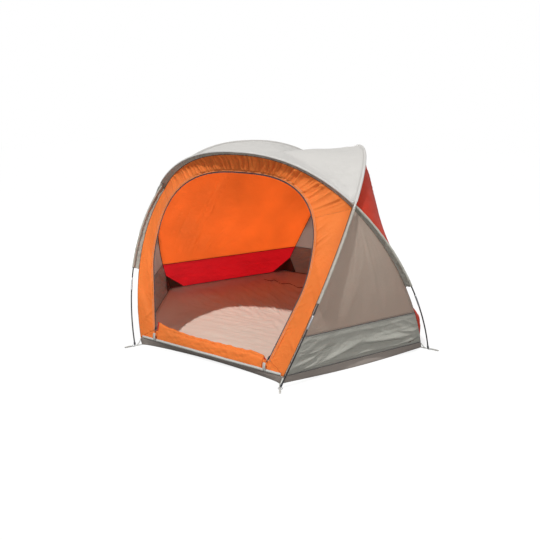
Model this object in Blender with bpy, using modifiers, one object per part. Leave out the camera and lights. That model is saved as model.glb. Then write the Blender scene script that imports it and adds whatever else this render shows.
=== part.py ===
"""Six-sided pop-style beach tent with three crossed pole hoops, an open front door, mesh side walls
and a tub floor.  Metres, +Z up, the origin on the ground at the centre of the floor, door towards -Y."""
import math

import bmesh
import bpy
from mathutils import Matrix, Vector

# Driving dimensions: the pole hoops
FOOT_RADIUS = 1.200  # centre of the tent to each pole foot
HOOP_RISE = 1.4737  # foot line to the crown, measured in the leaning plane of the hoop
HOOP_LEAN = math.radians(23.34)  # lean of a hoop's plane away from the upright
HOOP_POWER = 0.8678  # squareness of the hoop's shoulders
POLE_RADIUS = 0.00475
POLE_WALL = 0.0022
FIRST_JOINT = 0.44927  # length of pole from each foot to its first joint; the rest is cut into equal sections
INNER_SECTIONS = 5
SECTION_BENDS = 5  # straight stretches that stand for the bent part of a section
TUBE_SIDES = 8
FERRULE_RADIUS = 0.0060
FERRULE_SLACK = 0.00035  # room round a pole section in its neighbour's ferrule
BEND_CLEAR = 0.003  # the pole stays straight this far past its ferrule
FERRULE_LENGTH = 0.090
WEAVE = 0.0076  # how far each hoop bows in or out where two of them cross
END_GAP = 0.0003  # gap left between pieces that touch

# Driving dimensions: the fabric
SEAM_INSET = 0.050  # width at the foot of the strip from the wall seam to the pole
ARCH_INSET = 0.018  # its width at the crown of the hoop
INSET_POWER = 3  # how late on the way up the strip narrows
FABRIC = 0.0012
SEAM_CLEAR = 0.00075  # each panel stops this far from its seam line
SLEEVE_START = 0.570  # length of pole left bare above each foot
SLEEVE_RADIUS = 0.0082
SLEEVE_WRAP = math.radians(165)
CROSS_CLEAR = 0.034  # sleeves and roof stop this far from where the poles cross
HEM_HEIGHT = 0.050  # top of the tub floor's rim
BAND_HEIGHT = 0.300  # seam between the lower band and the wall above it
APEX_CLEAR = 0.030
MESH_DISH = 0.010
ROOF_RINGS = 5
ROOF_PASSES = 300  # rounds of levelling that the roof's skin goes through
ROOF_CROWN = 0.050  # how far the middle of the roof stands above that level skin
WALL_DISH = 0.050  # how far the closed walls are drawn in between their seams

# Driving dimensions: the door
DOOR_OUT = 0.0140714  # where the plane of the door meets the ground, beyond the edge of the floor
DOOR_SLOPE = 0.40  # how far that plane falls back for each unit of height
DOOR_FOOT_HEIGHT = 0.120
DOOR_FOOT_HALF = 0.480
JAMB_SLOPE = 0.330
JAMB_TOP = 0.500
DOOR_HALF = 0.637
DOOR_WIDEST = 0.700
DOOR_RISE = 0.524
DOOR_POWER = 2.7
HEADER_HEIGHT = 0.900  # where the seam from the crossing meets the door's edge
TAPE_WIDTH = 0.012
COIL_RADIUS = 0.0020
SLIDER_LENGTH = 0.022
SLIDER_WIDTH = 0.0125
SLIDER_DEPTH = 0.0095
SLIDER_BORE = 0.0027
SLIDER_SLOT = 0.0026
SLIDER_START = 0.016  # centre of the slider above the foot of its zipper
BAIL_BAR = 0.0016  # square bar of the slider's bail
BAIL_HEIGHT = 0.0040  # bar's middle above the face of the slider
BAIL_SPAN = 0.0092
PULL_LENGTH = 0.034
PULL_WIDTH = 0.0075
PULL_THICK = 0.0014
PULL_NECK = 0.007
PULL_NECK_FULL = 0.00875  # the neck with the part that runs into the tab
EYE_RADIUS = 0.0028
EYE_BORE = 0.0016
EYE_LENGTH = 0.0044
ROUND_SIDES = 12
FOLD_DEPTH = 0.030  # front to back thickness of the stowed door
FOLD_HALF = 0.466  # half the length of the stowed door
FOLD_CLEAR = 0.0006
BINDING_WIDTH = 0.020
TAB_WIDTH = 0.020
TAB_PLACE = 0.455  # webbing tabs under the sliders, out from the middle
TAB_RISE = 0.030

# Driving dimensions: the feet and corners
TIP_RADIUS = 0.0068
TIP_LENGTH = 0.022
TIP_START = 0.009  # length of hoop that the pole leaves free above the ground
WIRE_RADIUS = 0.0016
PIN_REACH = 0.040  # how high the pin stands up inside the pole
RING_RADIUS = 0.013
RING_ARC = math.radians(330)
RING_STEPS = 10
WEB_THICK = 0.0010
STRAP_WIDTH = 0.012
STRAP_RISE = 0.040  # height of the upper strap's end on the tub's rim
LOOP_LENGTH = 0.048
LOOP_RISE = 0.0062  # height of the stake loop's upper layer

# Shares of the door's half width and of the stowed cloth's own height, chosen by eye
FOLD_PLACE_SHARES = (-0.97, -0.90, -0.80, -0.66, -0.52, -0.37, -0.20, 0.0, 0.18, 0.36, 0.54, 0.70, 0.84, 0.92, 0.97)
FOLD_TOP = 0.146  # usual height of the stowed cloth
FOLD_TOP_SHARES = (0.96, 1.12, 1.17, 1.06, 1.03, 0.96, 0.95, 0.97, 0.98, 0.99, 1.0, 1.01, 1.0, 0.95, 0.90)
FOLD_DEPTH_SHARES = (0.55, 0.85, 1.1, 1.0, 0.9, 0.8, 0.75, 0.8, 0.78, 0.8, 0.85, 0.9, 0.95, 0.8, 0.55)
FOLD_SECTION_SHARES = ((0.0, 0.0), (0.55, 0.0), (1.0, 0.12), (0.86, 0.42), (1.0, 0.68), (0.72, 0.93), (0.30, 1.0), (0.0, 0.90))

CROSS_SEARCH = (0.1, 1.5)  # range of t in which a hoop meets its neighbour
CROSS_STEP = 0.01  # step of t over which the direction of the hoops there is taken
HOOPS = ("front", "right", "left")  # the hoops that carry the front door, the right wall, the left wall
THIRD = math.radians(120)
SIXTH = math.radians(60)

for old in list(bpy.data.objects):
    bpy.data.objects.remove(old, do_unlink=True)

tent = bpy.data.collections.new("beach_tent")
bpy.context.scene.collection.children.link(tent)
cutters = bpy.data.collections.new("cutters")
bpy.context.scene.collection.children.link(cutters)


def material(name, colour, roughness, metallic=0.0):
    """A Principled material of one colour."""
    mat = bpy.data.materials.new(name)
    mat.use_nodes = True
    shader = mat.node_tree.nodes["Principled BSDF"]
    shader.inputs["Base Color"].default_value = (*colour, 1.0)
    shader.inputs["Roughness"].default_value = roughness
    shader.inputs["Metallic"].default_value = metallic
    mat.diffuse_color = (*colour, 1.0)
    return mat


ORANGE = ((0.87, 0.24, 0.05), 0.65)
CRIMSON = ((0.58, 0.02, 0.03), 0.65)
RED = ((0.50, 0.05, 0.02), 0.65)
ROOF_GREY = ((0.74, 0.71, 0.67), 0.6)
BAND_GREY = ((0.33, 0.33, 0.29), 0.7)
MESH_TAUPE = ((0.30, 0.24, 0.19), 0.8)
FLOOR_BEIGE = ((0.62, 0.52, 0.44), 0.55)
WEBBING = ((0.58, 0.58, 0.54), 0.8)
DARK = ((0.03, 0.03, 0.04), 0.5)
POLE_BLACK = ((0.02, 0.02, 0.02), 0.35)
STEEL = ((0.62, 0.62, 0.62), 0.3, 1.0)


def link(obj, look, smooth=False, home=None):
    """Files an object in its collection and gives it a material of its own."""
    for coll in list(obj.users_collection):
        coll.objects.unlink(obj)
    (home or tent).objects.link(obj)
    obj.data.materials.clear()
    obj.data.materials.append(material(obj.name, *look))
    if smooth and obj.type == "MESH":
        obj.data.shade_smooth()
        obj.data.set_sharp_from_angle(angle=math.radians(40))
    return obj


def grid_mesh(name, rows, closed=False, solid=False, left_out=()):
    """A surface lofted through rows of points of equal length, its equal points welded into one."""
    bm = bmesh.new()
    verts = [[bm.verts.new(p) for p in row] for row in rows]
    for i, (low, high) in enumerate(zip(verts, verts[1:])):
        pairs = list(zip(range(len(low)), range(1, len(low))))
        if closed:
            pairs.append((len(low) - 1, 0))
        for a, b in pairs:
            if (i, a) not in left_out:
                bm.faces.new((low[a], low[b], high[b], high[a]))
    bmesh.ops.remove_doubles(bm, verts=bm.verts, dist=END_GAP / 10)
    bmesh.ops.delete(bm, geom=[v for v in bm.verts if not v.link_faces], context="VERTS")
    if solid:
        bmesh.ops.recalc_face_normals(bm, faces=bm.faces)
    mesh = bpy.data.meshes.new(name)
    bm.to_mesh(mesh)
    bm.free()
    return mesh


def sheet(name, rows, look, thick=None, side=0.0, closed=False, left_out=(), smooth=True):
    """Fabric: an open lofted surface that a Solidify modifier makes thick."""
    obj = bpy.data.objects.new(name, grid_mesh(name, rows, closed, left_out=left_out))
    shell = obj.modifiers.new("thickness", "SOLIDIFY")
    shell.thickness = thick or FABRIC
    shell.offset = side
    shell.use_even_offset = True
    return link(obj, look, smooth)


def tube(name, rings, radii, look, side_axis):
    """A bent, stepped tube with a bore: rings along its axis, each (place, direction), with out and in radii."""
    rows = []
    for (centre, along), radius in zip(rings, radii):
        first = (side_axis - along * side_axis.dot(along)).normalized()
        second = along.cross(first)
        turns = [math.radians(360 / TUBE_SIDES * (i + 0.5)) for i in range(TUBE_SIDES)]
        rows.append([centre + (first * math.cos(a) + second * math.sin(a)) * radius for a in turns])
    rows.append(rows[0])
    mesh = grid_mesh(name, rows, closed=True, solid=True)
    return link(bpy.data.objects.new(name, mesh), look, smooth=True)


def wire(name, path, radius, look):
    """A round bar along a path of points."""
    curve = bpy.data.curves.new(name, "CURVE")
    curve.dimensions = "3D"
    curve.bevel_resolution = 2
    curve.bevel_depth = radius
    curve.use_fill_caps = True
    spline = curve.splines.new("POLY")
    spline.points.add(len(path) - 1)
    for point, place in zip(spline.points, path):
        point.co = (*place, 1.0)
    return link(bpy.data.objects.new(name, curve), look)


def turn(point, k):
    """Turns a point of the front hoop's frame by k thirds of a turn about the tent's upright axis."""
    return Matrix.Rotation(THIRD * k, 3, "Z") @ Vector(point)


def hoop_point(t, inset=0.0):
    """Point of the front hoop at t, from 0 at its +X foot to pi at its -X foot, or of a line inside it."""
    c = math.cos(t)
    across = math.copysign((FOOT_RADIUS - inset) * abs(c) ** HOOP_POWER, c)
    up = (HOOP_RISE - inset) * math.sin(t)
    return Vector((across, -up * math.sin(HOOP_LEAN), up * math.cos(HOOP_LEAN)))


def seam_point(t):
    """Point of the seam line inside the front hoop, a strip's width from the pole."""
    return hoop_point(t, SEAM_INSET + (ARCH_INSET - SEAM_INSET) * math.sin(t) ** INSET_POWER)


def crossing(line):
    """The value of t where a line of the front hoop meets the right hoop's, in the upright plane between the two."""
    low, high = CROSS_SEARCH
    for _ in range(60):
        mid = (low + high) / 2
        p = line(mid)
        if p.x * math.sin(THIRD / 4) + p.y * math.cos(THIRD / 4) > 0:
            low = mid
        else:
            high = mid
    return (low + high) / 2


# A fine table turns length along the hoop into t
FINE = 2000
fine_t = [math.pi * i / FINE for i in range(FINE + 1)]
fine_s = [0.0]
for t0, t1 in zip(fine_t, fine_t[1:]):
    fine_s.append(fine_s[-1] + (hoop_point(t1) - hoop_point(t0)).length)
HOOP_LENGTH = fine_s[-1]


def between(x, xs, ys):
    """Straight interpolation in a rising table, for numbers or points."""
    if x <= xs[0]:
        return ys[0]
    for x0, x1, y0, y1 in zip(xs, xs[1:], ys, ys[1:]):
        if x <= x1:
            return y0 + (y1 - y0) * ((x - x0) / (x1 - x0))
    return ys[-1]


T_CROSS = crossing(hoop_point)
S_CROSS = between(T_CROSS, fine_t, fine_s)
T_CROSS_IN = crossing(seam_point)
rise_a, rise_b = hoop_point(T_CROSS + CROSS_STEP), hoop_point(T_CROSS - CROSS_STEP)
tangent = (rise_a - rise_b).normalized()
mirror_tangent = turn(Vector((-tangent.x, tangent.y, tangent.z)), 1)
cross_normal = tangent.cross(mirror_tangent).normalized()
if cross_normal.z < 0:
    cross_normal = -cross_normal


def woven(t):
    """The hoop's own line, bowed in before its middle and out after it so that it passes its neighbours."""
    c = math.cos(t) / math.cos(T_CROSS)
    bow = -WEAVE * math.sin(2 * t) / math.sin(2 * T_CROSS)
    return hoop_point(t) + bow * Vector((cross_normal.x * c, cross_normal.y, cross_normal.z))


# Joints between pole sections, and the points that every pole, sleeve and seam shares
SECTION_LENGTH = (HOOP_LENGTH - FIRST_JOINT * 2) / INNER_SECTIONS
joints = [FIRST_JOINT + i * SECTION_LENGTH for i in range(INNER_SECTIONS + 1)]
half_ferrule = FERRULE_LENGTH / 2
bend_reach = half_ferrule + BEND_CLEAR
stations = {}
for a, b in zip([0.0] + joints, joints + [HOOP_LENGTH]):
    low = a + (bend_reach if a > 0 else TIP_START)
    high = b - (bend_reach if b < HOOP_LENGTH else TIP_START)
    count = max(2, round((high - low) / (SECTION_LENGTH - bend_reach * 2) * SECTION_BENDS))
    for i in range(count + 1):
        place = low + (high - low) * i / count
        stations[place] = woven(between(place, fine_s, fine_t))
pole_s = sorted(stations)
pole_p = [stations[s] for s in pole_s]


def t_at(s):
    return between(s, fine_s, fine_t)


def s_at_height(height):
    """Length along the hoop at which the seam line inside it reaches a height."""
    return between(height, [seam_point(t).z for t in fine_t[:FINE // 2]], fine_s)


def pole_at(s):
    """Point of the pole's own straight-sided line, so that what follows the pole keeps its clearance."""
    return between(s, pole_s, pole_p)


def pole_ring(s, k, after=None):
    """Place and direction of the pole at s, halving the bend there unless a side of it is asked for."""
    step = BEND_CLEAR / 3
    back = pole_at(s) - pole_at(s - step) if s - step >= pole_s[0] else Vector()
    ahead = pole_at(s + step) - pole_at(s) if s + step <= pole_s[-1] else Vector()
    if after is not None:
        back, ahead = (Vector(), ahead) if after else (back, Vector())
    along = back.normalized() + ahead.normalized()
    return turn(pole_at(s), k), turn(along, k).normalized()


def toward(a, b, distance):
    """The point a, moved toward b."""
    return a + (b - a).normalized() * distance


# Pole sections: each but the last of a hoop ends in the ferrule that its neighbour slides into
BORE = POLE_RADIUS - POLE_WALL
hoop_normal = Vector((0.0, math.cos(HOOP_LEAN), math.sin(HOOP_LEAN)))
for k, hoop in enumerate(HOOPS):
    normal = turn(hoop_normal, k)
    ends = [TIP_START] + joints + [HOOP_LENGTH - TIP_START]
    for i, (a, b) in enumerate(zip(ends, ends[1:])):
        first, last = i == 0, i == INNER_SECTIONS + 1
        start = a if first else a + END_GAP
        bends = [s for s in pole_s if start < s < b - BEND_CLEAR / 2]
        rings = [pole_ring(start, k)] + [pole_ring(s, k) for s in bends]
        outer = [POLE_RADIUS] * len(rings)
        inner = [BORE] * len(rings)
        if first:
            step = pole_ring(start + TIP_LENGTH, k)
            rings[1:1] = [step, step]
            outer[0:1] = [TIP_RADIUS, TIP_RADIUS, POLE_RADIUS]
            inner[0:1] = [BORE, BORE, BORE]
        if last:
            step, stop = pole_ring(b - TIP_LENGTH, k), pole_ring(b, k)
            rings += [step, step, stop]
            outer += [POLE_RADIUS, TIP_RADIUS, TIP_RADIUS]
            bore_rings = list(zip(rings, inner + [BORE] * 3))
        else:
            collar, mouth = pole_ring(b - half_ferrule, k), pole_ring(b + half_ferrule, k)
            seat = pole_ring(b, k)
            rings += [collar, collar, mouth]
            outer += [POLE_RADIUS, FERRULE_RADIUS, FERRULE_RADIUS]
            socket = POLE_RADIUS + FERRULE_SLACK
            bore_rings = list(zip(rings[:-3], inner)) + [(seat, BORE), (seat, socket), (mouth, socket)]
        kept = [pair for i, pair in enumerate(bore_rings) if i == 0 or pair != bore_rings[i - 1]]
        kept.reverse()
        tube(f"{hoop}_pole_section_{i + 1}", rings + [r for r, _ in kept], outer + [r for _, r in kept], POLE_BLACK, normal)

# Seam lines: where the walls meet, a strip's width inside each pole
S_HEM = s_at_height(HEM_HEIGHT)
S_BAND = s_at_height(BAND_HEIGHT)
S_CROSS_IN = between(T_CROSS_IN, fine_t, fine_s)
leg_marks = [S_HEM, S_BAND, SLEEVE_START]
leg_marks += [s for s in pole_s if SLEEVE_START + half_ferrule < s < S_CROSS_IN - half_ferrule]
leg_marks += [S_CROSS_IN]
arch_marks = [s for s in pole_s if S_CROSS_IN + half_ferrule < s < HOOP_LENGTH - S_CROSS_IN - half_ferrule]
seam_s = leg_marks + arch_marks + [HOOP_LENGTH - s for s in reversed(leg_marks)]
seam_p = [seam_point(t_at(s)) for s in seam_s]


def seam_at(s):
    """Point of the seam line inside the front hoop."""
    return between(s, seam_s, seam_p)


def leg_seam(leg, s):
    """Point of the seam line of a leg, s along its pole; the legs count round from the +X corner."""
    leg %= 6
    if leg % 2:
        return turn(seam_at(HOOP_LENGTH - s), (leg - 1) // 2 + 2)
    return turn(seam_at(s), leg // 2)


def arch_seam(k):
    """The seam line below hoop k between its crossings, from the left one to the right one seen from outside."""
    places = [S_CROSS_IN] + arch_marks + [HOOP_LENGTH - S_CROSS_IN]
    return [turn(seam_at(s), k) for s in reversed(places)]


def inset(rows, clear=SEAM_CLEAR):
    """Draws the four edges of a grid in from their seam lines."""
    rows = [list(row) for row in rows]
    for row in rows:
        row[0], row[-1] = toward(row[0], row[1], clear), toward(row[-1], row[-2], clear)
    rows[0], rows[-1] = (
        [toward(a, b, clear) for a, b in zip(rows[0], rows[1])],
        [toward(a, b, clear) for a, b in zip(rows[-1], rows[-2])],
    )
    return rows


def shares_along(points):
    """Share of a line's length at each of its points."""
    lengths = [0.0]
    for a, b in zip(points, points[1:]):
        lengths.append(lengths[-1] + (b - a).length)
    return [length / lengths[-1] for length in lengths]


# Sleeves: a strip from the wall seam to the pole that hooks round it; a hoop's own sleeve runs on
# where it passes inside its neighbour and is cut where it passes outside
def sleeve_row(s, k):
    pole, seam = pole_at(s), seam_at(s)
    out = (pole - seam).normalized()
    row = [seam + out * SEAM_CLEAR]
    for i in range(7):
        angle = -math.pi / 2 + (SLEEVE_WRAP + math.pi / 2) * i / 6
        row.append(pole + (out * math.cos(angle) + hoop_normal * math.sin(angle)) * SLEEVE_RADIUS)
    return [turn(p, k) for p in row]


def sleeve(name, k, low, high):
    marks = sorted({low, high} | {s for s in pole_s + seam_s if low < s < high})
    sheet(name, [sleeve_row(s, k) for s in marks], BAND_GREY)


for k, hoop in enumerate(HOOPS):
    cut = HOOP_LENGTH - S_CROSS
    sleeve(f"{hoop}_sleeve_long", k, SLEEVE_START, cut - CROSS_CLEAR)
    sleeve(f"{hoop}_sleeve_short", k, cut + CROSS_CLEAR, HOOP_LENGTH - SLEEVE_START)


# Walls between the legs: mesh triangles with a grey band, and closed panels up to an arch
def band(name, leg, look):
    rows = [[leg_seam(leg, s), leg_seam(leg + 1, s)] for s in (S_HEM, S_BAND)]
    rows = [[a, a.lerp(b, 1 / 3), a.lerp(b, 2 / 3), b] for a, b in rows]
    sheet(name, inset(rows), look)


def mesh_wall(name, leg):
    top = S_CROSS_IN - APEX_CLEAR
    rows = []
    for s in [s for s in leg_marks if S_BAND <= s < top] + [top]:
        a, b = leg_seam(leg, s), leg_seam(leg + 1, s)
        inward = Vector((-(a + b).x, -(a + b).y, 0.0)).normalized()
        hang = MESH_DISH * math.sin(math.pi * (s - S_BAND) / (top - S_BAND))
        rows.append([a.lerp(b, u) + inward * (hang * math.sin(math.pi * u)) for u in (0, 0.25, 0.5, 0.75, 1)])
    sheet(name, inset(rows), MESH_TAUPE)


def closed_wall(name, leg, look):
    """A panel blended between the band's seam, its two legs and the arch over it, drawn in at its middle."""
    marks = [s for s in leg_marks if s >= S_BAND]
    left, right = [leg_seam(leg, s) for s in marks], [leg_seam(leg + 1, s) for s in marks]
    top = arch_seam((leg + 2) // 2 % 3)
    middle = left[0] + right[0]
    inward = -Vector((middle.x, middle.y, 0.0)).normalized()
    rows = []
    for v, a, b in zip(shares_along(left), left, right):
        row = []
        for u, crown in zip(shares_along(top), top):
            sill = left[0].lerp(right[0], u)
            corners = left[0].lerp(right[0], u) * (1 - v) + top[0].lerp(top[-1], u) * v
            draw = WALL_DISH * math.sin(math.pi * u) * math.sin(math.pi * v)
            row.append(sill * (1 - v) + crown * v + a.lerp(b, u) - corners + inward * draw)
        rows.append(row)
    sheet(name, inset(rows), look)


for name, leg in (("right", 5), ("rear", 1), ("left", 3)):
    mesh_wall(f"{name}_mesh", leg)
    band(f"{name}_band", leg, BAND_GREY)
for name, leg, upper, lower in (("rear_right", 0, RED, RED), ("rear_left", 2, ORANGE, CRIMSON)):
    closed_wall(f"{name}_wall", leg, upper)
    band(f"{name}_band", leg, lower)

# Roof: a taut skin between the three arches, held 1 ring at a time by its neighbours until it lies level
rim, rim_lines = [], []
for k in (1, 2, 0):
    low, high = S_CROSS + CROSS_CLEAR, HOOP_LENGTH - S_CROSS - CROSS_CLEAR
    marks = [low] + [s for s in pole_s if low + CROSS_CLEAR / 2 < s < high - CROSS_CLEAR / 2] + [high]
    rim += [turn(pole_at(s), k) for s in reversed(marks)]
    rim_lines += [pole_ring(s, k)[1] for s in reversed(marks)]
crown = sum(rim, Vector()) / len(rim)
roof = [[crown.lerp(p, r / ROOF_RINGS) for p in rim] for r in range(ROOF_RINGS + 1)]
for _ in range(ROOF_PASSES):
    for r in range(1, ROOF_RINGS):
        ring = roof[r]
        roof[r] = [
            (ring[i - 1] + ring[(i + 1) % len(ring)] + roof[r - 1][i] + roof[r + 1][i]) / 4 for i in range(len(ring))
        ]
    roof[0] = [sum(roof[1], Vector()) / len(rim)] * len(rim)
lifts = [Vector((0.0, 0.0, ROOF_CROWN * (1 - (r / ROOF_RINGS) ** 2))) for r in range(ROOF_RINGS + 1)]
roof = [[p + lift for p in ring] for ring, lift in zip(roof, lifts)]
edge_clear = SLEEVE_RADIUS + FABRIC + END_GAP
for i, (edge, inner, along) in enumerate(zip(roof[-1], roof[-2], rim_lines)):
    away = inner - edge
    roof[-1][i] = edge + (away - along * away.dot(along)).normalized() * edge_clear
sheet("roof", roof, ROOF_GREY, closed=True)

# Tub floor: a flat sheet turned up at the rim to meet the walls' hems
ground = [Matrix.Rotation(SIXTH * j, 3, "Z") @ Vector((FOOT_RADIUS - SEAM_INSET, 0.0, 0.0)) for j in range(6)]
brim = [toward(leg_seam(j, S_HEM), ground[j], SEAM_CLEAR) for j in range(6)]
centre = [Vector()] * 6
sheet("floor", [brim, ground, centre], FLOOR_BEIGE, side=1.0, closed=True, smooth=False)


# The door's edge: straight jambs that lean out, then a squared arch
DOOR_BASE = -((FOOT_RADIUS - SEAM_INSET) * math.cos(SIXTH / 2) + DOOR_OUT)


def door_point(x, z):
    return Vector((x, DOOR_BASE + DOOR_SLOPE * z, z))


jamb_half = DOOR_FOOT_HALF + JAMB_SLOPE * (JAMB_TOP - DOOR_FOOT_HEIGHT)
bend_height = JAMB_TOP + (DOOR_HALF - jamb_half) / JAMB_SLOPE
half_edge = [(DOOR_FOOT_HALF, DOOR_FOOT_HEIGHT), (jamb_half, JAMB_TOP)]
for i in range(1, 13):
    u = i / 12
    half_edge.append((
        jamb_half * (1 - u) ** 2 + DOOR_HALF * (1 - (1 - u) ** 2),
        JAMB_TOP * (1 - u) ** 2 + bend_height * 2 * u * (1 - u) + DOOR_WIDEST * u ** 2,
    ))
for i in range(1, 81):
    angle = math.pi / 2 * i / 80
    half_edge.append((
        DOOR_HALF * max(0.0, math.cos(angle)) ** (2 / DOOR_POWER),
        DOOR_WIDEST + DOOR_RISE * math.sin(angle) ** (2 / DOOR_POWER),
    ))
edge_line = [door_point(-x, z) for x, z in half_edge[:-1]] + [door_point(x, z) for x, z in reversed(half_edge)]
edge_share = shares_along(edge_line)
share_jamb = edge_share[1]
share_header = between(HEADER_HEIGHT, [z for _, z in half_edge], edge_share[:len(half_edge)])

# Front wall: lofted from the legs and the arch to the door's edge
marks_share = [share_header * s for s in shares_along([leg_seam(4, s) for s in leg_marks])]
arch = arch_seam(0)
arch_share = [share_header + (1 - 2 * share_header) * s for s in shares_along(arch)]
marks_share = [min(marks_share, key=lambda v: abs(v - share_jamb)) == v and share_jamb or v for v in marks_share]
door_shares = marks_share + arch_share[1:-1] + [1 - v for v in reversed(marks_share)]
door_edge = [between(v, edge_share, edge_line) for v in door_shares]
outer_edge = [leg_seam(4, s) for s in leg_marks] + arch[1:-1] + [leg_seam(5, s) for s in reversed(leg_marks)]
front = [[a.lerp(b, v) for a, b in zip(outer_edge, door_edge)] for v in (0, 0.5, 1)]
sheet("front_wall", inset(front), ORANGE)

# Threshold below the door, and the binding with its two webbing tabs along the hem
low_corners, high_corners = (leg_seam(4, S_HEM), leg_seam(5, S_HEM)), (door_edge[0], door_edge[-1])
steps = [i / 8 for i in range(9)]
threshold = [[low.lerp(high, v) for low, high in zip(
    [low_corners[0].lerp(low_corners[1], u) for u in steps],
    [high_corners[0].lerp(high_corners[1], u) for u in steps],
)] for v in (0, 1)]
sheet("door_sill", inset(threshold), ORANGE)
face = low_corners[0].y - FABRIC - END_GAP
half_hem = low_corners[1].x - BINDING_WIDTH
places = [-half_hem, -TAB_PLACE - TAB_WIDTH / 2, -TAB_PLACE + TAB_WIDTH / 2]
places += [-x for x in reversed(places)]
levels = [HEM_HEIGHT + END_GAP, HEM_HEIGHT + BINDING_WIDTH, HEM_HEIGHT + BINDING_WIDTH + TAB_RISE]
hem_rows = [[Vector((x, face, z)) for x in places] for z in levels]
sheet("front_binding", hem_rows, WEBBING, left_out=((1, 0), (1, 2), (1, 4)))

# The door itself, folded down behind the threshold
cloth = []
inner_face = max(low_corners[0].y, high_corners[0].y) + FABRIC / 2 + FOLD_CLEAR
for place, tall, deep in zip(FOLD_PLACE_SHARES, FOLD_TOP_SHARES, FOLD_DEPTH_SHARES):
    base = FABRIC + END_GAP
    height = FOLD_TOP * tall - base
    cloth.append([
        Vector((FOLD_HALF * place, inner_face + FOLD_DEPTH * deep * d, base + height * h))
        for d, h in FOLD_SECTION_SHARES
    ])
ends = [[sum(row, Vector()) / len(row)] * len(row) for row in (cloth[0], cloth[-1])]
folded = grid_mesh("stowed_door", [ends[0]] + cloth + [ends[1]], closed=True, solid=True)
link(bpy.data.objects.new("stowed_door", folded), CRIMSON, smooth=True)

# Zipper: one tape with its coil, swept round the door's edge
outward = Vector((0.0, -1.0, DOOR_SLOPE)).normalized()
coil_place = TAPE_WIDTH + COIL_RADIUS * 1.5
tape_half = FABRIC / 2
slope = COIL_RADIUS * 0.5
profile = [
    (0.0, -tape_half), (TAPE_WIDTH, -tape_half), (coil_place - slope, -COIL_RADIUS), (coil_place + slope, -COIL_RADIUS),
    (coil_place + COIL_RADIUS, 0.0), (coil_place + slope, COIL_RADIUS), (coil_place - slope, COIL_RADIUS),
    (TAPE_WIDTH, tape_half), (0.0, tape_half),
]
path = [toward(door_edge[0], door_edge[1], SEAM_CLEAR)] + door_edge[1:-1]
path += [toward(door_edge[-1], door_edge[-2], SEAM_CLEAR)]
rows = []
for i, place in enumerate(path):
    back = (place - path[i - 1]).normalized() if i else Vector()
    ahead = (path[i + 1] - place).normalized() if i + 1 < len(path) else Vector()
    along = (back + ahead).normalized()
    inward = along.cross(outward)
    rows.append([place + inward * u + outward * v for u, v in profile])
middle = [[sum(row, Vector()) / len(row)] * len(row) for row in (rows[0], rows[-1])]
zipper = grid_mesh("door_zipper", [middle[0]] + rows + [middle[1]], closed=True, solid=True)
link(bpy.data.objects.new("door_zipper", zipper), DARK, smooth=True)


# Sliders and their pulls, built along +Z with the face of the slider towards -Y, then set on the coils
def box(name, size, place, home=cutters):
    bpy.ops.mesh.primitive_cube_add(size=1.0)
    obj = bpy.context.active_object
    obj.name = name
    obj.data.transform(Matrix.Translation(place) @ Matrix.Diagonal((*size, 1.0)))
    return link(obj, DARK, home=home)


def rod(name, radius, length, axis, place=(0.0, 0.0, 0.0), sides=ROUND_SIDES):
    bpy.ops.mesh.primitive_cylinder_add(vertices=sides, radius=radius, depth=length)
    obj = bpy.context.active_object
    obj.name = name
    turned = Matrix.Rotation(math.radians(90), 4, axis) if axis else Matrix.Identity(4)
    obj.data.transform(Matrix.Translation(place) @ turned)
    return link(obj, DARK, home=cutters)


def boolean(obj, other, operation):
    """Joins or cuts an object with a hidden one that follows it."""
    other.hide_render = True
    other.display_type = "WIRE"
    other.parent = obj
    step = obj.modifiers.new(other.name, "BOOLEAN")
    step.operation = operation
    step.object = other
    step.solver = "EXACT"


def on_coil(side, height):
    """Frame of a slider at a height above the zipper's foot: its place, its way up and its way in."""
    foot, knee = (door_edge[-1], door_edge[-2]) if side > 0 else (door_edge[0], door_edge[1])
    up = (knee - foot).normalized()
    way_in = up.cross(outward) * (-side)
    place = foot + up * height + way_in * coil_place
    return place, up, way_in


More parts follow.
